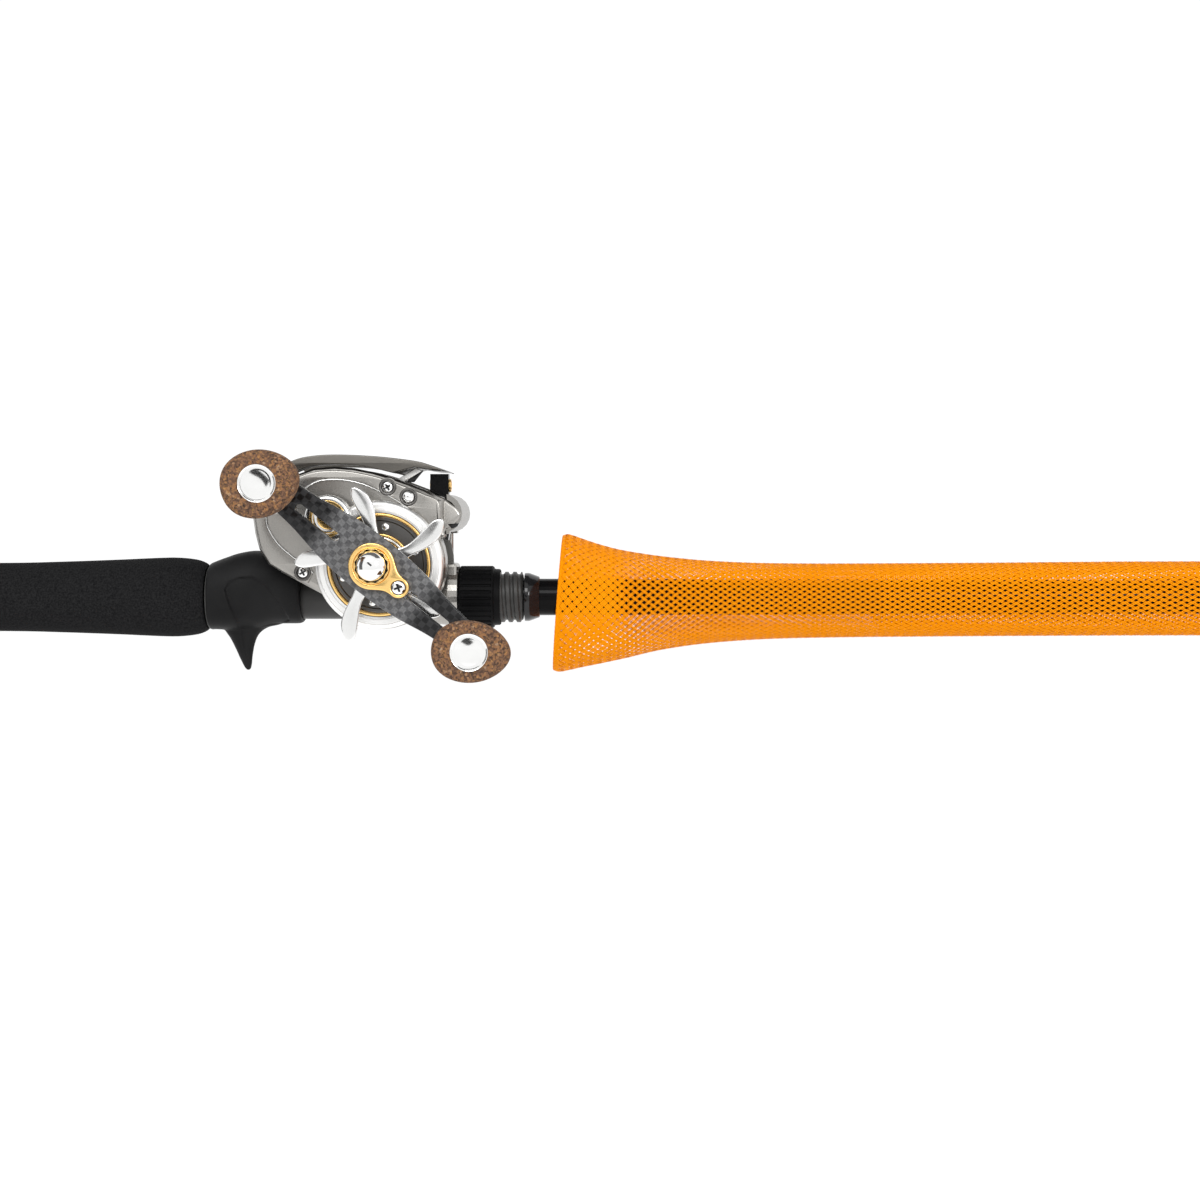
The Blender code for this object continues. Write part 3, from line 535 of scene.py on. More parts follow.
def make_rod():
    """The foam grip, the butt cap, the tapered blank, its winding check and the guides' thread wraps."""
    grip_line = [(12.2, 6.2), (13.0, 7.6), (13.3, 20.0), (12.6, 45.0), (12.2, 70.0), (12.2, 120.0),
                 (12.3, 160.0), (12.7, 178.0), (13.4, 198.0), (14.1, 214.0), (14.15, 221.0), (13.5, 227.0),
                 (12.4, 230.2), (11.3, 231.4)]
    grip = [(7.8, 6.2), *[tuple(p) for p in spline(grip_line, 120)], (7.8, 231.5)]
    lathe("grip_foam", grip, "foam", "rod_and_frame", replaces=["rear_grip"], segments=96)
    butt = rounded([(0.0, 0.0), (11.6, 0.0), (12.9, 3.0), (12.3, 5.7), (0.0, 5.7)], 1.2)
    lathe("butt_cap_rubber", butt, "foam", "rod_and_frame", replaces=["butt_cap"], segments=96)
    tube = []
    for (_, x0), (_, x1) in zip(BLANK_LINE, BLANK_LINE[1:]):
        tube += [(blank_radius(x), x) for x in (x0 + (x1 - x0) * k / 6 for k in range(6))]
    start, tip = BLANK_LINE[0], BLANK_LINE[-1]
    lathe("blank_tube", [(0.0, start[1]), *tube, tip, (0.0, tip[1])], "blank", "rod_and_frame",
          replaces=["rod_blank"], segments=64)
    check = rounded([(6.7, 345.0), (8.7, 345.0), (8.7, 346.6), (7.3, 350.4), (6.6, 350.4)], 0.4)
    lathe("winding_check_ring", check, "gloss", "rod_and_frame", replaces=["winding_check"], cyclic=True)
    turns, spacing = 26, 0.45
    for i, x in enumerate(GUIDES):
        radius, start = blank_radius(x), x - 13.8
        wraps = [(radius - 0.2, start - 0.2)]
        for k in range(turns):
            wraps += [(radius + 0.16, start + k * spacing), (radius + 0.34, start + 0.2 + k * spacing)]
        wraps.append((radius - 0.2, start + turns * spacing))
        lathe(f"thread_wrap_{i + 1}", wraps, "gloss", "rod_and_frame", segments=32, cyclic=True)


SEAT_POINTS = 72
SQUARENESS = 2.3  # 2 is an ellipse


def seat_section(x, top, bottom, half_width):
    """The seat's outline across the rod at x."""
    middle, half = (top + bottom) / 2, (top - bottom) / 2
    ring = []
    for i in range(SEAT_POINTS):
        angle = math.tau * i / SEAT_POINTS
        c, s = math.cos(angle), math.sin(angle)
        ring.append((x, half_width * math.copysign(abs(c) ** (2 / SQUARENESS), c),
                     middle + half * math.copysign(abs(s) ** (2 / SQUARENESS), s)))
    return ring


# The pressed leaf's outline on the seat's side, in (x, z).
LEAF = [(239.0, 3.2), (240.6, 6.0), (244.4, 7.7), (249.2, 7.9), (254.2, 4.9), (258.4, -0.6), (261.3, -6.3),
        (261.6, -8.4), (254.5, -11.2), (250.4, -14.6), (248.0, -20.0), (246.2, -25.6), (244.9, -24.6),
        (243.9, -18.0), (242.8, -9.0), (240.4, -2.0)]


def leaf_depth(x, z):
    """How far inside the leaf outline a point lies, in millimetres; 0 outside."""
    inside, nearest = False, 99.0
    for (x0, z0), (x1, z1) in zip(LEAF, LEAF[1:] + LEAF[:1]):
        if (z0 > z) != (z1 > z) and x < x0 + (z - z0) * (x1 - x0) / (z1 - z0):
            inside = not inside
        along = (x - x0) * (x1 - x0) + (z - z0) * (z1 - z0)
        share = clamp(along / ((x1 - x0) ** 2 + (z1 - z0) ** 2))
        nearest = min(nearest, math.hypot(x - x0 - share * (x1 - x0), z - z0 - share * (z1 - z0)))
    return nearest if inside else 0.0


def press_leaf(item):
    """Presses a shallow leaf-shaped panel into both sides of the seat."""
    depth, border, middle, fade = 1.1, 0.8, 1.2, 6.0
    for vert in item.data.vertices:
        x, y, z = vert.co / MM
        if abs(y) > middle:
            share = min(1.0, leaf_depth(x, z) / border)
            amount = depth * share * share * (3 - 2 * share) * min(1.0, abs(y) / fade)
            vert.co.y -= math.copysign(amount, y) * MM


def make_seat():
    """The trigger seat: a swelling tube blended into its trigger, with a leaf-shaped dish on each side."""
    stations = [(232.4, 12.1, -11.6, 11.8), (234.5, 13.0, -11.6, 12.0), (238.0, 14.3, -11.8, 12.2),
                (243.0, 15.9, -12.0, 12.4), (249.0, 16.7, -11.4, 12.3), (255.0, 15.7, -9.7, 11.9),
                (260.0, 13.7, -9.5, 11.4), (264.4, 12.3, -9.4, 11.0), (265.6, 11.6, -8.6, 10.3)]
    rings = spline(stations, 40)
    verts = [v for ring in rings for v in seat_section(*ring)]
    item = piece("trigger_seat", verts, grid_faces(len(rings), SEAT_POINTS), "seat", "rod_and_frame",
                 ["reel_seat"])
    heel = [(236.4, -4.0, 4.2), (236.6, -10.6, 4.2), (237.4, -12.6, 4.0), (239.0, -14.9, 3.7),
            (240.9, -18.7, 3.2), (242.5, -22.3, 2.4), (244.1, -25.5, 1.5), (245.2, -26.5, 1.0)]
    toe = [(261.0, -4.0, 4.2), (258.3, -9.2, 4.2), (252.6, -10.9, 4.0), (249.3, -13.3, 3.7),
           (247.7, -16.8, 3.2), (246.9, -20.9, 2.4), (246.5, -24.6, 1.5), (246.1, -26.0, 1.0)]
    back, front = spline(heel, 40), spline(toe, 40)
    trigger = []
    around = 28
    for a, b in zip(back, front):
        for i in range(around):
            angle = math.tau * i / around
            share = (1 - math.cos(angle)) / 2
            x, z = a[0] + (b[0] - a[0]) * share, a[1] + (b[1] - a[1]) * share
            trigger.append((x, a[2] * math.sin(angle) * 1.1, z))
    apply_boolean(item, solid("trigger", trigger, grid_faces(len(back), around)), "UNION")
    remesh = item.modifiers.new("blend", "REMESH")
    remesh.mode = "VOXEL"
    remesh.voxel_size = 0.42 * MM
    smooth = item.modifiers.new("soften", "SMOOTH")
    smooth.iterations = 5
    bake(item)
    press_leaf(item)
    bore = [(x, *spot) for x in (228.0, 270.0) for spot in circle((0.0, 0.0), 8.2)]
    apply_boolean(item, solid("bore", bore, grid_faces(2, 48)))
    pocket = [(x, y, z) for x in (252.8, 270.0) for y, z in ((-6.6, 6.0), (6.6, 6.0), (6.6, 10.9),
                                                             (-6.6, 10.9))]
    apply_boolean(item, solid("pocket", pocket, grid_faces(2, 4)))
    paint(item, "seat")
    sharpen(item, 50.0)
    band = rounded([(8.2, 232.0), (11.5, 232.0), (11.75, 233.0), (11.5, 233.4), (8.2, 233.4)], 0.3)
    lathe("seat_rear_band", band, "barrel", "rod_and_frame", cyclic=True)


def make_barrel_and_nut():
    """The tube with its coarse thread, and the ribbed nut that runs on it."""
    pitch, root, crest_height = 2.9, 8.25, 0.85
    thread_start, front = 312.5, 344.6

    def thread(radius, x, angle):
        if radius < 8.0 or not thread_start <= x <= front - 0.4:
            return radius
        phase = (x / pitch - angle / math.tau) % 1.0
        return root + crest_height * clamp(2.2 - abs(phase - 0.5) * 6.0)

    tube = [(7.35, 233.0), (7.9, 233.0), (7.9, 311.0), (8.2, 312.0)]
    tube += [(8.3, thread_start + k * 0.2) for k in range(160)]
    tube += [(8.0, front - 0.1), (7.4, front)]
    lathe("threaded_tube", tube, "barrel", "rod_and_frame", replaces=["seat_barrel"], segments=96,
          change=thread, cyclic=True)

    ribs, rib_depth = 30, 0.55

    def ribbed(radius, x, angle):
        if radius < 10.6 or not 322.6 < x < 333.2:
            return radius
        wave = (angle / math.tau * ribs) % 1.0
        return radius - rib_depth * clamp((abs(wave - 0.5) - 0.28) * 9.0)

    nut = [(9.65, 321.6), (10.5, 321.6), (11.15, 322.2), (11.2, 322.7), (11.2, 323.1)]
    nut += [(11.2, 323.1 + k * 0.5) for k in range(1, 20)]
    nut += [(11.2, 333.0), (11.2, 333.4), (10.9, 334.0), (10.2, 334.3), (10.1, 334.8), (10.1, 335.9),
            (9.8, 336.4), (9.65, 336.4)]
    lathe("ribbed_lock_nut", nut, "nut", "lock_nut", replaces=["lock_nut"], segments=240, change=ribbed,
          cyclic=True)


# ---------------------------------------------------------------- sleeve

STRANDS = 44  # running each way round
# (x, top, bottom) of the sleeve's outline
SLEEVE_MOUTH = [(356.6, 22.4, -26.4), (358.6, 22.9, -27.2), (361.4, 22.3, -26.8), (366.0, 20.8, -25.7),
                (372.5, 18.9, -24.3), (381.0, 17.0, -22.4), (396.0, 14.8, -19.0), (416.0, 13.1, -16.5),
                (444.0, 12.4, -15.1), (500.0, 12.6, -14.5), (560.0, 13.1, -14.2)]
SLEEVE_REST = [(700.0, 13.4, -14.0), (1000.0, 13.4, -13.6), (1500.0, 13.2, -13.2), (1990.0, 13.0, -13.0),
               (2025.0, 10.5, -10.5), (2044.0, 7.4, -7.4), (2052.0, 7.2, -7.2)]
SLEEVE_LINE = [tuple(p) for p in spline(SLEEVE_MOUTH, 120)] + SLEEVE_REST
RIM, SLEEVE_END, HEM_END = 356.7, 2052.0, 382.0
HEM_INSET = -0.75
WALL = 0.4  # from the outline to the middle of the weave
WEAVE_LIFT = 0.13  # of a strand over or under the other set
THREAD_GAP = 0.06
PAIRS_FROM, SINGLES_FROM = 470.0, 605.0  # a strand is drawn as three threads, then two, then one


def sleeve_at(x):
    """(middle z, radius) of the sleeve at x."""
    for (x0, t0, b0), (x1, t1, b1) in zip(SLEEVE_LINE, SLEEVE_LINE[1:]):
        if x <= x1:
            share = (x - x0) / (x1 - x0)
            top, bottom = t0 + (t1 - t0) * share, b0 + (b1 - b0) * share
            return (top + bottom) / 2, (top - bottom) / 2
    return 0.0, SLEEVE_LINE[-1][1]


def braid_step(x):
    """The distance along the rod between crossings, which opens as the braid narrows."""
    return 1.58 + 0.54 * clamp((x - 400.0) / 220.0)


def braid_half(x, angle):
    """Half the width of a strand: widest in the hem, narrowest where the braid is drawn over the blank."""
    aside = clamp((math.cos(angle) + 0.92) / 0.2)
    body = 0.43 + 0.22 * aside
    return body + (0.82 - body) * clamp((384.0 - x) / 10.0)


def braid_point(x, inset, angle):
    """A point on the sleeve, whose mouth leans forward at its top."""
    middle, radius = sleeve_at(x)
    r = radius - WALL + inset
    z = middle + r * math.sin(angle)
    lean = 0.075 * (z + 4.0) * max(0.0, 1.0 - (x - 356.0) / 26.0)
    return (x + lean, r * math.cos(angle), z)


def braid_rows():
    """(x, inset) of every row of crossings: the hem from its end to the rim, the fold, then the sleeve."""
    outside = []
    x = RIM + 0.8
    while x < SLEEVE_END - 0.4:
        outside.append((x, 0.0))
        x += braid_step(x)
    hem = [(x, HEM_INSET) for x, _ in outside if x < HEM_END]
    fold = [(RIM + 0.25, -0.6), (RIM + 0.05, -0.35), (RIM + 0.25, -0.1)]
    return hem[::-1] + fold + outside


def braid_edges(rows, row, strand, hand, thread, threads):
    """The two edge points of one thread of a strand where it meets a row, each with its UV."""
    x, inset = rows[row]
    radius = sleeve_at(x)[1]
    lift = WEAVE_LIFT * hand * (1 if row % 2 == 0 else -1)
    angle = (2 * strand + hand * row) * math.pi / STRANDS
    slope = math.atan2(math.pi * radius / STRANDS, braid_step(x))
    half = braid_half(x, angle)
    width, low = 2 * half, -half
    if threads > 1:
        width = 2 * half / threads - THREAD_GAP
        low += (2 * half - width) * thread / (threads - 1)
    edges = []
    for side in (low, low + width):
        turned = angle + hand * side * math.cos(slope) / radius
        along = min(max(x - side * math.sin(slope), RIM), SLEEVE_END)
        edges.append((braid_point(along, inset + lift, turned), (side * 2.6, row + (hand < 0))))
    return edges


def make_sleeve():
    """The braid itself: flat strands run both ways round the rod, over and under, with the hem folded in."""
    rows = braid_rows()
    pairs = next(i for i, row in enumerate(rows) if row[0] > PAIRS_FROM)
    singles = next(i for i, row in enumerate(rows) if row[0] > SINGLES_FROM)
    verts, faces, uvs = [], [], []
    for hand in (-1, 1):
        for strand in range(STRANDS):
            for start, end, threads in ((0, pairs, 3), (pairs, singles, 2), (singles, len(rows) - 1, 1)):
                for thread in range(threads):
                    for row in range(start, end + 1):
                        for point, uv in braid_edges(rows, row, strand, hand, thread, threads):
                            verts.append(point)
                            uvs.append(uv)
                        if row > start:
                            n = len(verts)
                            faces.append((n - 4, n - 3, n - 1, n - 2))
    item = piece("braided_sleeve", verts, faces, "orange", "sleeve", ["sleeve"], uvs=uvs)
    plug = rounded([(0.0, 2045.2), (6.05, 2045.2), (6.05, 2052.6), (5.4, 2053.4), (0.0, 2053.4)], 0.5)
    lathe("sleeve_end_plug", plug, "seat", "sleeve", replaces=["sleeve_plug"], segments=48)


# ---------------------------------------------------------------- reel


def make_handle():
    """The slotted carbon arm, and the nut in its gold retainer."""
    half_line = [(-49.3, 0.4), (-48.8, 3.4), (-46.6, 4.9), (-43.0, 5.5), (-36.0, 5.9), (-28.0, 6.7),
                 (-19.0, 8.3), (-11.0, 9.3), (0.0, 9.7)]
    half_line += [(-reach, wide) for reach, wide in reversed(half_line[:-1])]
    edge = flat_spline(half_line, 90)
    outline = [along_arm(s, -w) for s, w in edge] + [along_arm(s, w) for s, w in reversed(edge)]
    holes = [circle(GEAR_AXIS, 3.4)]
    start, end, wide = 15.8, 31.0, 1.35
    turns = [math.radians(-90 + 15 * k) for k in range(13)]
    for side in (-1, 1):
        slot = [(end + wide * math.cos(a), wide * math.sin(a)) for a in turns]
        slot += [(start - wide * math.cos(a), wide * math.sin(a)) for a in reversed(turns)]
        holes.append([along_arm(side * s, side * w) for s, w in slot])
        holes.append(circle(along_arm(side * 43.4), 2.45, 32))
    holes.append(circle(along_arm(RETAINER_SCREW), 1.4, 24))
    plate("carbon_arm", outline, (43.5, 46.3), "carbon", "drive", holes, 0.45, ["handle_arm"], ARM_ANGLE)

    screw = along_arm(RETAINER_SCREW)
    head = [polar(GEAR_AXIS, 7.8, ARM_ANGLE + math.radians(52 + 256 * k / 60)) for k in range(61)]
    waist = [(4.6, 6.3), (7.9, 4.05), (10.2, 3.5)]
    below = flat_spline([along_arm(s, -w) for s, w in waist], 8)
    tail = [polar(screw, 3.5, ARM_ANGLE + math.radians(-100 + 200 * k / 28)) for k in range(29)]
    above = flat_spline([along_arm(s, w) for s, w in reversed(waist)], 8)
    plate("gold_retainer", head + below[1:-1] + tail + above[1:-1], (46.7, 48.9), "gold", "drive",
          [circle(GEAR_AXIS, 6.05, 64), circle(screw, 2.45, 32)], 0.4, ["nut_retainer"])
    star = [polar(GEAR_AXIS, 5.75 if k % 2 else 5.25, math.tau * k / 24) for k in range(24)]
    plate("retainer_teeth", circle(GEAR_AXIS, 6.0, 64), (47.2, 49.4), "gold", "drive", [star], 0.12)
    nut = [(0.0, 53.4), (1.6, 53.3), (3.0, 52.9), (4.1, 52.1), (4.75, 51.2), (4.95, 50.3), (5.0, 48.6),
           (5.0, 47.15), (0.0, 47.15)]
    lathe("handle_nut_dome", nut, "chrome", "drive", GEAR_AXIS, ["handle_nut"])
    cross_screw("retainer_cross_screw", screw, 2.25, (46.8, 49.3), "drive", "retainer_screw", 20.0)


def cross_line(centre, reach, half_width, turn):
    """The outline of an upright cross, turned by some degrees."""
    line = []
    for quarter in range(4):
        angle = math.radians(turn + 90.0 * quarter)
        c, s = math.cos(angle), math.sin(angle)
        for along, aside in ((reach, -half_width), (reach, half_width), (half_width, half_width)):
            line.append((centre[0] + along * c - aside * s, centre[1] + along * s + aside * c))
    return line


def cross_screw(name, centre, radius, out, body, node, turn):
    """A domed chrome screw head, whose cross recess is floored with gloss black as painted shade."""
    low, top = out
    head = [(0.0, top), (radius * 0.5, top - 0.03), (radius * 0.8, top - 0.15), (radius * 0.97, top - 0.45),
            (radius, top - 0.8), (radius, low), (0.0, low)]
    item = lathe(name, head, "chrome", body, centre, [node], 48)
    cross = cross_line(centre, radius * 0.66, radius * 0.16, turn)
    block = [(x, -place, z) for place in (top - 0.75, top + 0.5) for x, z in cross]
    apply_boolean(item, solid("recess", block, grid_faces(2, len(cross))))
    paint(item, "chrome")
    sharpen(item)
    # Painted shade: a gloss black plate floors the cross recess, darkening it.
    floor = cross_line(centre, radius * 0.68, radius * 0.17, turn)
    plate(name + "_recess", floor, (top - 0.85, top - 0.3), "gloss", body, edge=0.02)


def make_knob(name, centre, length, height, tilt, low, high):
    """An egg-shaped paddle of cork rubber that narrows towards the arm, with a rimmed metal cap."""
    rows = [(low, 0.42, 0.47), (low + 0.5, 0.48, 0.53), (low + 3.0, 0.53, 0.58), (low + 7.0, 0.66, 0.68),
            (low + 12.0, 0.89, 0.88), (low + 16.0, 0.985, 0.98), (low + 18.5, 1.0, 1.0),
            (high - 1.6, 0.985, 0.98), (high - 0.5, 0.94, 0.93), (high - 0.05, 0.87, 0.85),
            (high, 0.80, 0.78)]
    around = 96
    verts = []
    for row in spline(rows, 44):
        for i in range(around):
            angle = math.tau * i / around
            egg = 1.0 + 0.035 * math.cos(angle) * math.cos(2 * angle)
            u = length / 2 * row[1] * math.cos(angle) * egg
            v = height / 2 * row[2] * math.sin(angle) * (1.0 - 0.05 * math.cos(angle))
            c, s = math.cos(tilt), math.sin(tilt)
            verts.append((centre[0] + u * c - v * s, -row[0], centre[1] + u * s + v * c))
    body = "knob_" + name
    item = piece("cork_" + body, verts, grid_faces(44, around), "cork", body, [body])
    sharpen(item, 45.0)
    cap = [(0.0, high + 0.35), (2.0, high + 0.34), (4.2, high + 0.22), (5.2, high + 0.05), (5.5, high + 0.12),
           (5.75, high + 0.5), (6.0, high + 0.6), (6.2, high + 0.45), (6.3, high + 0.1), (6.3, high - 2.1),
           (0.0, high - 2.1)]
    lathe("knob_end_cap_" + name, cap, "chrome", body, centre, ["knob_cap_" + name])


def make_star(low, high):
    """Five leaf-shaped arms on a stepped hub, for turning the drag."""
    hub = rounded([(3.55, low - 2.7), (7.0, low - 2.7), (7.5, low - 1.0), (7.6, high + 0.4),
                   (6.4, high + 2.3), (3.55, high + 2.3)], 0.5)
    lathe("star_hub", hub, "steel", "star_drag", GEAR_AXIS, ["star_drag"], cyclic=True)
    rows = [(6.0, 3.6), (8.0, 2.7), (10.5, 2.1), (13.0, 1.95), (16.0, 2.3), (19.0, 2.75), (21.8, 2.95),
            (24.2, 2.75), (25.8, 2.1), (26.9, 1.25), (27.5, 0.55)]
    arms, bend, tip = 5, math.radians(12.0), rows[-1][0]
    for i in range(arms):
        start = math.radians(34.0) + math.tau * i / arms - bend
        left, right = [], []
        for radius, half in flat_spline(rows, 40):
            turn = start + bend * (radius / tip) ** 2
            spot = polar(GEAR_AXIS, radius, turn)
            left.append((spot[0] - half * math.sin(turn), spot[1] + half * math.cos(turn)))
            right.append((spot[0] + half * math.sin(turn), spot[1] - half * math.cos(turn)))
        plate(f"star_arm_{i + 1}", right + left[::-1], (low, high), "steel", "star_drag", edge=0.5)


def make_cast_control():
    """The knurled spool-tension cap with its gold centre and ring."""
    low, knurls, knurl_depth = 29.9, 48, 0.14
    cap = [(0.0, 34.4), (3.6, 34.4), (4.0, 34.55), (4.7, 34.55), (5.0, 34.3), (5.6, 34.4), (7.0, 34.5),
           (7.7, 34.2), (8.1, 33.5), (8.2, 32.6), (8.2, low), (5.1, low), (5.1, 33.2), (0.0, 33.2)]

    def knurled(radius, out, angle):
        in_groove = int(angle / math.tau * knurls * 2 + 0.5) % 2
        return radius - knurl_depth if out < 33.0 and radius > 8.15 and in_groove else radius

    lathe("cast_control_knob", cap, "steel", "cast_control", SPOOL_AXIS, ["cast_control_cap"], 192, knurled)
    lathe("cast_control_centre", [(0.0, 34.75), (3.2, 34.7), (3.6, 34.5), (3.6, 34.3), (0.0, 34.3)], "gold",
          "cast_control", SPOOL_AXIS, segments=48)
    ring = rounded([(5.2, 34.35), (5.2, 34.75), (6.2, 34.75), (6.2, 34.35)], 0.15)
    lathe("cast_control_ring", ring, "gold", "cast_control", SPOOL_AXIS, cyclic=True)


def make_drum_face():
    """Turned rings on the gear drum's face, the gold trim and the pinned drag well."""
    face = [(17.95, 28.8), (17.95, 29.25), (18.5, 29.35), (18.75, 29.1), (19.0, 29.35), (20.4, 29.3),
            (20.6, 29.1), (20.8, 29.25), (21.4, 29.0), (21.9, 28.4), (22.1, 27.9), (21.0, 27.9),
            (20.0, 28.8)]
    lathe("drum_face_rings", face, "face", "rod_and_frame", GEAR_AXIS, segments=144, cyclic=True)
    trim = rounded([(16.6, 26.4), (16.6, 29.0), (16.9, 29.4), (17.5, 29.4), (17.8, 29.1), (17.8, 26.4)], 0.2)
    lathe("gold_trim_ring", trim, "gold", "rod_and_frame", GEAR_AXIS, ["drag_trim_ring"], 144, cyclic=True)
    floor = [(8.6, 26.4), (8.6, 27.0), (9.2, 27.15), (10.6, 27.15), (10.9, 26.9), (15.0, 26.9), (15.4, 27.4),
             (16.2, 27.4), (16.2, 26.4)]
    lathe("drag_well_floor", floor, "well", "rod_and_frame", GEAR_AXIS, ["drag_well_plate"], 144, cyclic=True)
    pin = [(0.0, 28.4), (0.8, 28.35), (1.2, 28.1), (1.25, 27.6), (1.25, 26.8), (0.0, 26.8)]
    for i in range(6):
        centre = polar(GEAR_AXIS, 13.2, math.radians(20.0 + 60.0 * i))
        lathe(f"drag_well_pin_{i + 1}", pin, "steel", "rod_and_frame", centre, segments=32)
    for name, radius, look in (("outer", 10.3, "gold"), ("middle", 9.3, "steel"), ("inner", 8.2, "gold")):
        ring = rounded([(radius - 0.4, 27.0), (radius - 0.4, 28.3), (radius, 28.5), (radius + 0.4, 28.3),
                        (radius + 0.4, 27.0)], 0.2)
        lathe("drag_hub_ring_" + name, ring, look, "rod_and_frame", GEAR_AXIS, segments=96, cyclic=True)


def make_cover_details():
    """The raised rim plate, chrome wires along its inner edge as painted highlights on the step, and the
    screws with their rings.
    """
    outer = [(271.2, 5.9), (268.6, 6.9), (262.6, 10.3), (258.2, 13.2), (255.2, 18.0), (253.9, 23.2),
             (253.2, 29.0), (255.2, 33.2), (259.8, 37.7), (266.4, 41.8), (273.2, 44.2), (280.3, 44.8),
             (287.0, 44.3), (293.8, 42.9), (299.8, 41.1), (306.0, 38.8), (311.2, 36.7), (316.6, 33.8),
             (316.8, 25.4), (317.0, 20.0)]
    inner = [(317.4, 14.0), (316.9, 17.5), (315.6, 21.0), (312.6, 25.6), (308.0, 30.2), (302.6, 34.0),
             (296.6, 37.3), (290.6, 39.9), (284.8, 41.3), (279.6, 41.6), (274.6, 40.9), (270.0, 38.2),
             (266.0, 34.4), (262.8, 31.4), (259.6, 29.8), (256.9, 28.8), (257.6, 24.9), (260.9, 19.6),
             (265.6, 15.3), (269.8, 12.4), (273.0, 9.4)]
    line = flat_spline(outer, 80) + flat_spline(inner, 90)
    holes = [circle(centre, 2.75, 32) for centre in (SCREW_FRONT, LUBE_PORT, SCREW_REAR)]
    plate("cover_rim_plate", line, (24.6, 26.3), "silver", "rod_and_frame", holes, 0.5)
    corner = 15
    # Painted highlights: bright chrome wires along the plate's inner edge stand in for the light caught by
    # its step.
    for name, points, count in (("cover_step_highlight", inner[1:corner], 80),
                                ("cover_rear_highlight", inner[corner:], 40)):
        step = [(x, 26.1, z) for x, z in flat_spline(points, count)]
        wire(name, step, 0.24, "chrome", "rod_and_frame")
    for name, centre in (("cover_screw_front", SCREW_FRONT), ("cover_screw_rear", SCREW_REAR)):
        cross_screw(name + "_head", centre, 1.95, (22.4, 26.5), "rod_and_frame", name, 30.0)
        washer = rounded([(2.1, 25.2), (2.1, 26.5), (2.7, 26.6), (2.95, 26.3), (2.95, 25.2)], 0.15)
        lathe(name + "_washer", washer, "well", "rod_and_frame", centre, segments=48, cyclic=True)
    dome = [(0.0, 27.6), (1.0, 27.5), (1.8, 27.1), (2.1, 26.6), (2.15, 26.2), (2.2, 22.4), (0.0, 22.4)]
    lathe("lube_port_dome", dome, "chrome", "rod_and_frame", LUBE_PORT, ["lube_port_cap"], 48)
    ring = rounded([(2.25, 25.2), (2.25, 26.6), (2.8, 26.7), (3.1, 26.4), (3.1, 25.2)], 0.15)
    lathe("lube_port_ring", ring, "well", "rod_and_frame", LUBE_PORT, segments=48, cyclic=True)


def make_nose():
    """Solid cheeks that close the nose in front of the side plates, gloss black plates as painted shade in
    the nose's slot, in the notch below its tip and in the gap behind the strut, and the strut below the
    visor.
    """
    nose = [(310.0, 36.9), (314.0, 36.6), (317.5, 35.6), (320.1, 33.8), (322.1, 32.4), (323.5, 30.6),
            (323.9, 29.2), (322.9, 27.3), (321.3, 25.3), (319.9, 24.3), (318.3, 23.6), (317.8, 21.4),
            (310.0, 20.0)]
    line = flat_spline(nose, 70)
    start = nose[0][0]
    shorter = [(start + (x - start) * 0.8, z) for x, z in line]
    for name, outline, out in (("gear", line, (17.1, 20.4)), ("palm", shorter, (-20.4, -15.2))):
        plate("nose_cheek_" + name, outline, out, "silver", "rod_and_frame", edge=1.3)
    # Painted shade: gloss black plates fill the nose's slot and the notch below its tip.
    slot = [(319.0, 26.3), (323.0, 26.6), (322.4, 25.4), (320.4, 24.7)]
    plate("nose_slot_shade", slot, (17.5, 20.5), "gloss", "rod_and_frame", edge=0.1)
    wedge = [(317.9, 23.6), (319.4, 23.9), (318.9, 20.6), (317.9, 20.9)]
    plate("nose_notch_shade", wedge, (12.0, 17.0), "gloss", "rod_and_frame", edge=0.1)
    strut = [(300.3, 41.6), (303.0, 40.9), (309.6, 44.9), (307.4, 46.0)]
    plate("visor_strut", strut, (11.0, 14.0), "face", "rod_and_frame", edge=0.3)
    # Painted shade: a gloss black plate fills the gap behind the strut.
    plate("visor_gap_shade", [(303.6, 40.9), (306.5, 41.0), (310.0, 45.1), (308.6, 45.1)], (10.2, 12.6), "gloss",
          "rod_and_frame", edge=0.1)


def make_cowl():
    """The top cowl, smooth along its back, with the thumb's window cut through."""
    top = flat_spline([(262.8, 46.9), (268.0, 49.0), (274.0, 50.0), (281.0, 50.3), (290.0, 50.0),
                       (299.0, 49.3), (308.7, 48.0), (313.6, 46.6), (318.0, 44.9)], 72)
    under = flat_spline([(300.1, 44.0), (290.0, 46.3), (280.3, 47.0), (272.0, 46.4), (265.0, 44.0)], 40)
    outline = [*top, (313.0, 45.2), (307.9, 46.0), *under]
    item = plate("top_cowl", outline, (-24.0, 24.0), "dusk", "rod_and_frame", edge=0.35,
                 replaces=["frame_cowl"])
    corners, radius = ((299.0, 10.4), (257.0, 10.4), (257.0, -10.4), (299.0, -10.4)), 2.0
    line = [polar(corner, radius, math.radians(90.0 * turn + 15.0 * k))
            for turn, corner in enumerate(corners) for k in range(7)]
    window = [(x, y, z) for z in (30.0, 60.0) for x, y in line]
    apply_boolean(item, solid("window", window, grid_faces(2, len(line))))
    paint(item, "dusk")
    sharpen(item)


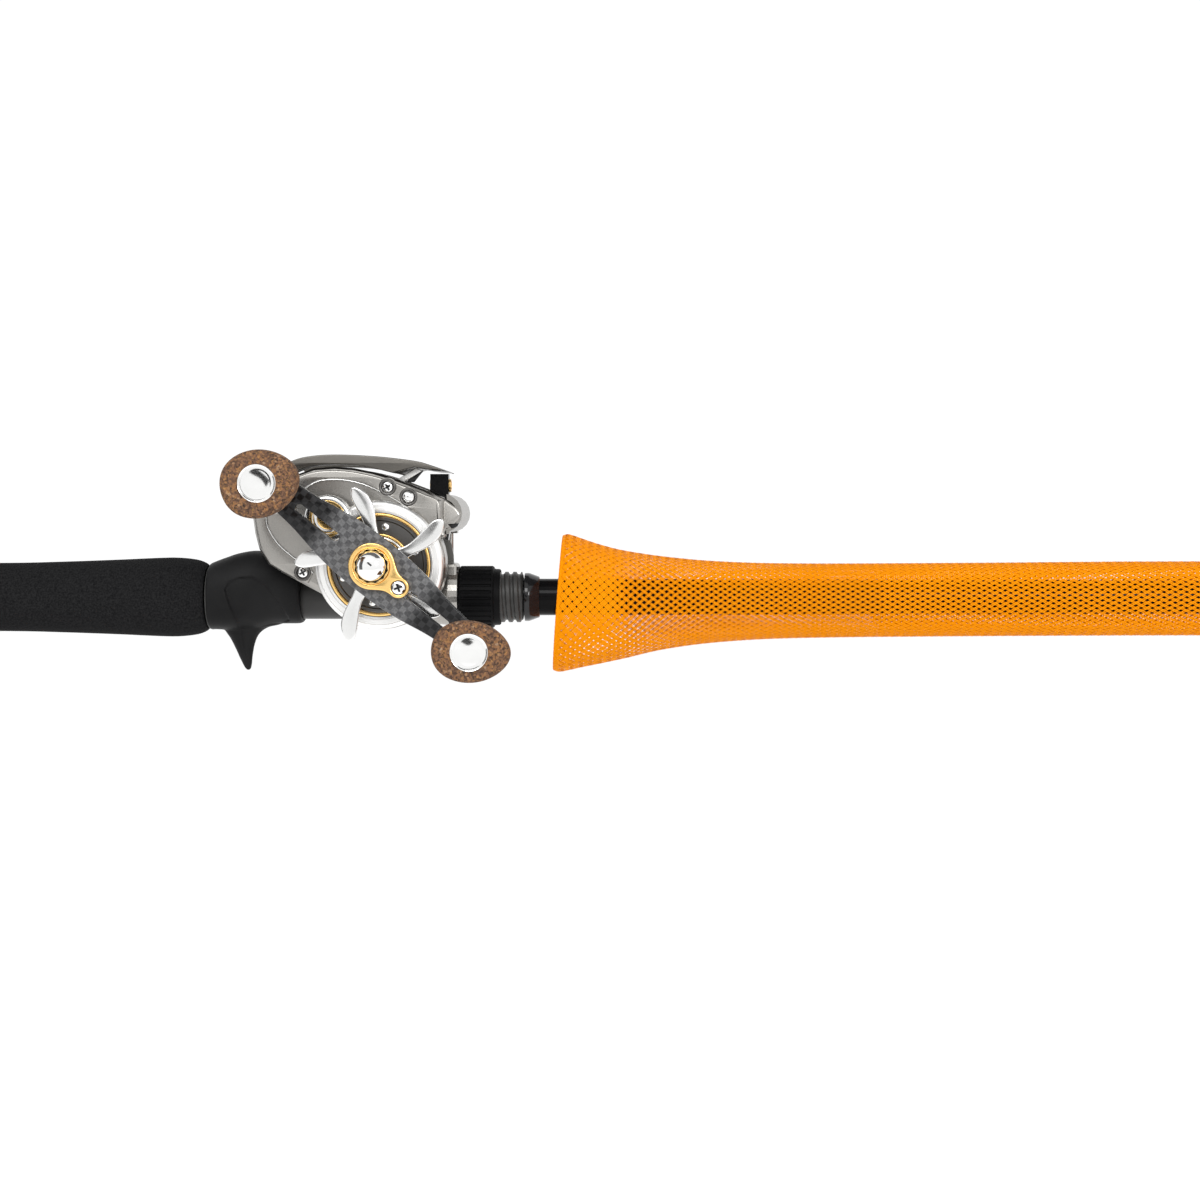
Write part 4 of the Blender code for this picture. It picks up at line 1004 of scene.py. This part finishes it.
def make_palm_cover():
    """The palm side's hollow shell, rounded over at its edge."""
    rim = flat_spline([(262.0, 9.4), (257.2, 12.4), (254.0, 17.6), (252.2, 23.0), (251.8, 29.0),
                       (254.0, 34.2), (259.0, 38.9), (266.0, 43.0), (273.0, 45.5), (280.3, 46.1),
                       (287.0, 45.6), (294.0, 44.2), (300.0, 42.4), (306.3, 40.1), (311.6, 38.0),
                       (318.0, 34.6)], 120)
    rim += [(318.0, z) for z in (31.0, 27.0, 23.0, 19.0, 15.0)]
    rim += [(317.4, 12.0), (316.2, 10.4), (314.0, 9.6)] + [(310.0 - 4.0 * k, 9.4) for k in range(12)]
    # (out, growth of the rim's outline): up the inside, then over the outside
    steps = [(-22.6, -5.0), (-18.4, -2.0), (-15.2, -1.8), (-15.2, 0.0), (-19.0, -0.1), (-20.8, -0.45),
             (-22.2, -1.2), (-23.3, -2.2), (-24.1, -3.4), (-24.5, -4.7), (-24.6, -6.2)]
    middle = (285.0, 24.0)
    verts = []
    for out, grow in steps:
        for x, z in rim:
            share = 1.0 + grow / math.hypot(x - middle[0], z - middle[1])
            verts.append((middle[0] + (x - middle[0]) * share, -out, middle[1] + (z - middle[1]) * share))
    piece("palm_shell", verts, grid_faces(len(steps), len(rim)), "silver", "rod_and_frame",
          ["palm_side_cover"])


def make_spool():
    """The polished line spool."""
    half = [(16.3, 12.0), (16.3, 11.2), (15.9, 10.8), (12.4, 10.4), (11.0, 10.0), (10.25, 9.4), (10.0, 8.6)]
    profile = half + [(r, -out) for r, out in reversed(half)]
    profile += [(15.6, -11.9), (8.5, -11.4), (8.5, -4.0), (1.9, -4.0), (1.9, 4.0), (8.5, 4.0), (8.5, 11.4),
                (15.6, 11.9)]
    lathe("line_spool", profile, "face", "spool", SPOOL_AXIS, ["spool"], 96, cyclic=True)


def finish_cad_nodes():
    """Materials and softened edges for the CAD nodes that stay shown."""
    looks = {"reel_frame": "frame", "line_guide": "gloss"}
    for name, item in nodes.items():
        own = item.data.materials[0].name.split(".")[0]
        paint(item, looks.get(name, own))
    for name in ("reel_frame", "line_guide", "thumb_bar", "front_hood"):
        edge = nodes[name].modifiers.new("soft_edge", "BEVEL")
        edge.width = 0.3 * MM
        edge.segments = 3
        edge.limit_method = "ANGLE"
        edge.angle_limit = math.radians(35.0)


finish_cad_nodes()
make_rod()
make_seat()
make_barrel_and_nut()
make_sleeve()
make_handle()
make_star(35.7, 37.7)
make_knob("upper", KNOB_UPPER, 25.6, 22.0, math.radians(14.0), 48.6, 70.6)
make_knob("lower", KNOB_LOWER, 25.8, 20.2, math.radians(-4.0), 48.6, 70.6)
make_cast_control()
make_drum_face()
make_cover_details()
make_nose()
make_cowl()
make_palm_cover()
make_spool()


# ---------------------------------------------------------------- camera and light


def area_light(name, place, target, size, power):
    data = bpy.data.lights.new(name, "AREA")
    data.shape = "RECTANGLE"
    data.size, data.size_y = size
    data.energy = power
    item = bpy.data.objects.new(name, data)
    item.location = place
    item.rotation_euler = (Vector(target) - Vector(place)).to_track_quat("-Z", "Y").to_euler()
    bpy.context.scene.collection.objects.link(item)


def studio_card(name, place, target, size, shade, roll=0.0):
    """A flat card that only reflections see."""
    mesh = bpy.data.meshes.new(name)
    w, h = size[0] / 2, size[1] / 2
    mesh.from_pydata([(-w, -h, 0), (w, -h, 0), (w, h, 0), (-w, h, 0)], [], [(0, 1, 2, 3)])
    card = place_mesh(name, mesh)
    card.location = place
    aimed = (Vector(target) - Vector(place)).to_track_quat("-Z", "Y").to_matrix()
    card.rotation_euler = (aimed @ Matrix.Rotation(math.radians(roll), 3, "Z")).to_euler()
    card.data.materials.append(Look(name + "_paint", (shade, shade, shade), 0.9).material)
    card.visible_camera = False
    card.visible_diffuse = False
    card.visible_shadow = False


def make_stage():
    """The floor, the white surroundings, the cards and two lights; places and sizes are in metres."""
    half, height = 9.0, -0.32
    mesh = bpy.data.meshes.new("studio_floor")
    corners = [(-half, -half, height), (half, -half, height), (half, half, height), (-half, half, height)]
    mesh.from_pydata(corners, [], [(0, 1, 2, 3)])
    floor = place_mesh("studio_floor", mesh)
    floor.data.materials.append(Look("floor_paint", (0.97, 0.97, 0.97), 0.95).material)

    world = bpy.data.worlds.new("studio")
    world.use_nodes = True
    background = world.node_tree.nodes["Background"]
    background.inputs["Color"].default_value = (1.0, 1.0, 1.0, 1.0)
    background.inputs["Strength"].default_value = 1.05
    bpy.context.scene.world = world

    reel = (0.295, 0.0, 0.012)
    studio_card("card_slant", (0.10, -1.30, 0.22), reel, (0.17, 0.5), 0.03, 50.0)
    studio_card("card_left", (-0.75, -0.55, 0.05), reel, (0.7, 1.3), 0.10)
    studio_card("card_low", (0.35, -0.35, -0.75), reel, (1.6, 0.7), 0.12)
    studio_card("card_top", (0.35, 0.10, 0.90), reel, (1.6, 0.8), 0.10)
    area_light("key", (0.15, -0.75, 0.55), reel, (0.5, 0.3), 3.0)
    area_light("fill", (0.75, -0.85, 0.30), (0.40, 0.0, 0.0), (0.25, 0.25), 2.5)


def make_camera():
    """The photo's view: level with the rod, square to the reel's side."""
    aim = Vector((0.37205, 0.0, -0.0011))
    distance, rise = 0.650, math.atan(0.045)
    data = bpy.data.cameras.new("photo_camera")
    data.sensor_width = 36.0
    data.lens = 54.17
    data.clip_start = 0.01
    camera = bpy.data.objects.new("photo_camera", data)
    camera.location = aim + Vector((0.0, -math.cos(rise), math.sin(rise))) * distance
    camera.rotation_euler = (aim - camera.location).to_track_quat("-Z", "Y").to_euler()
    bpy.context.scene.collection.objects.link(camera)
    bpy.context.scene.camera = camera


make_stage()
make_camera()
bpy.context.scene.view_settings.view_transform = "Standard"
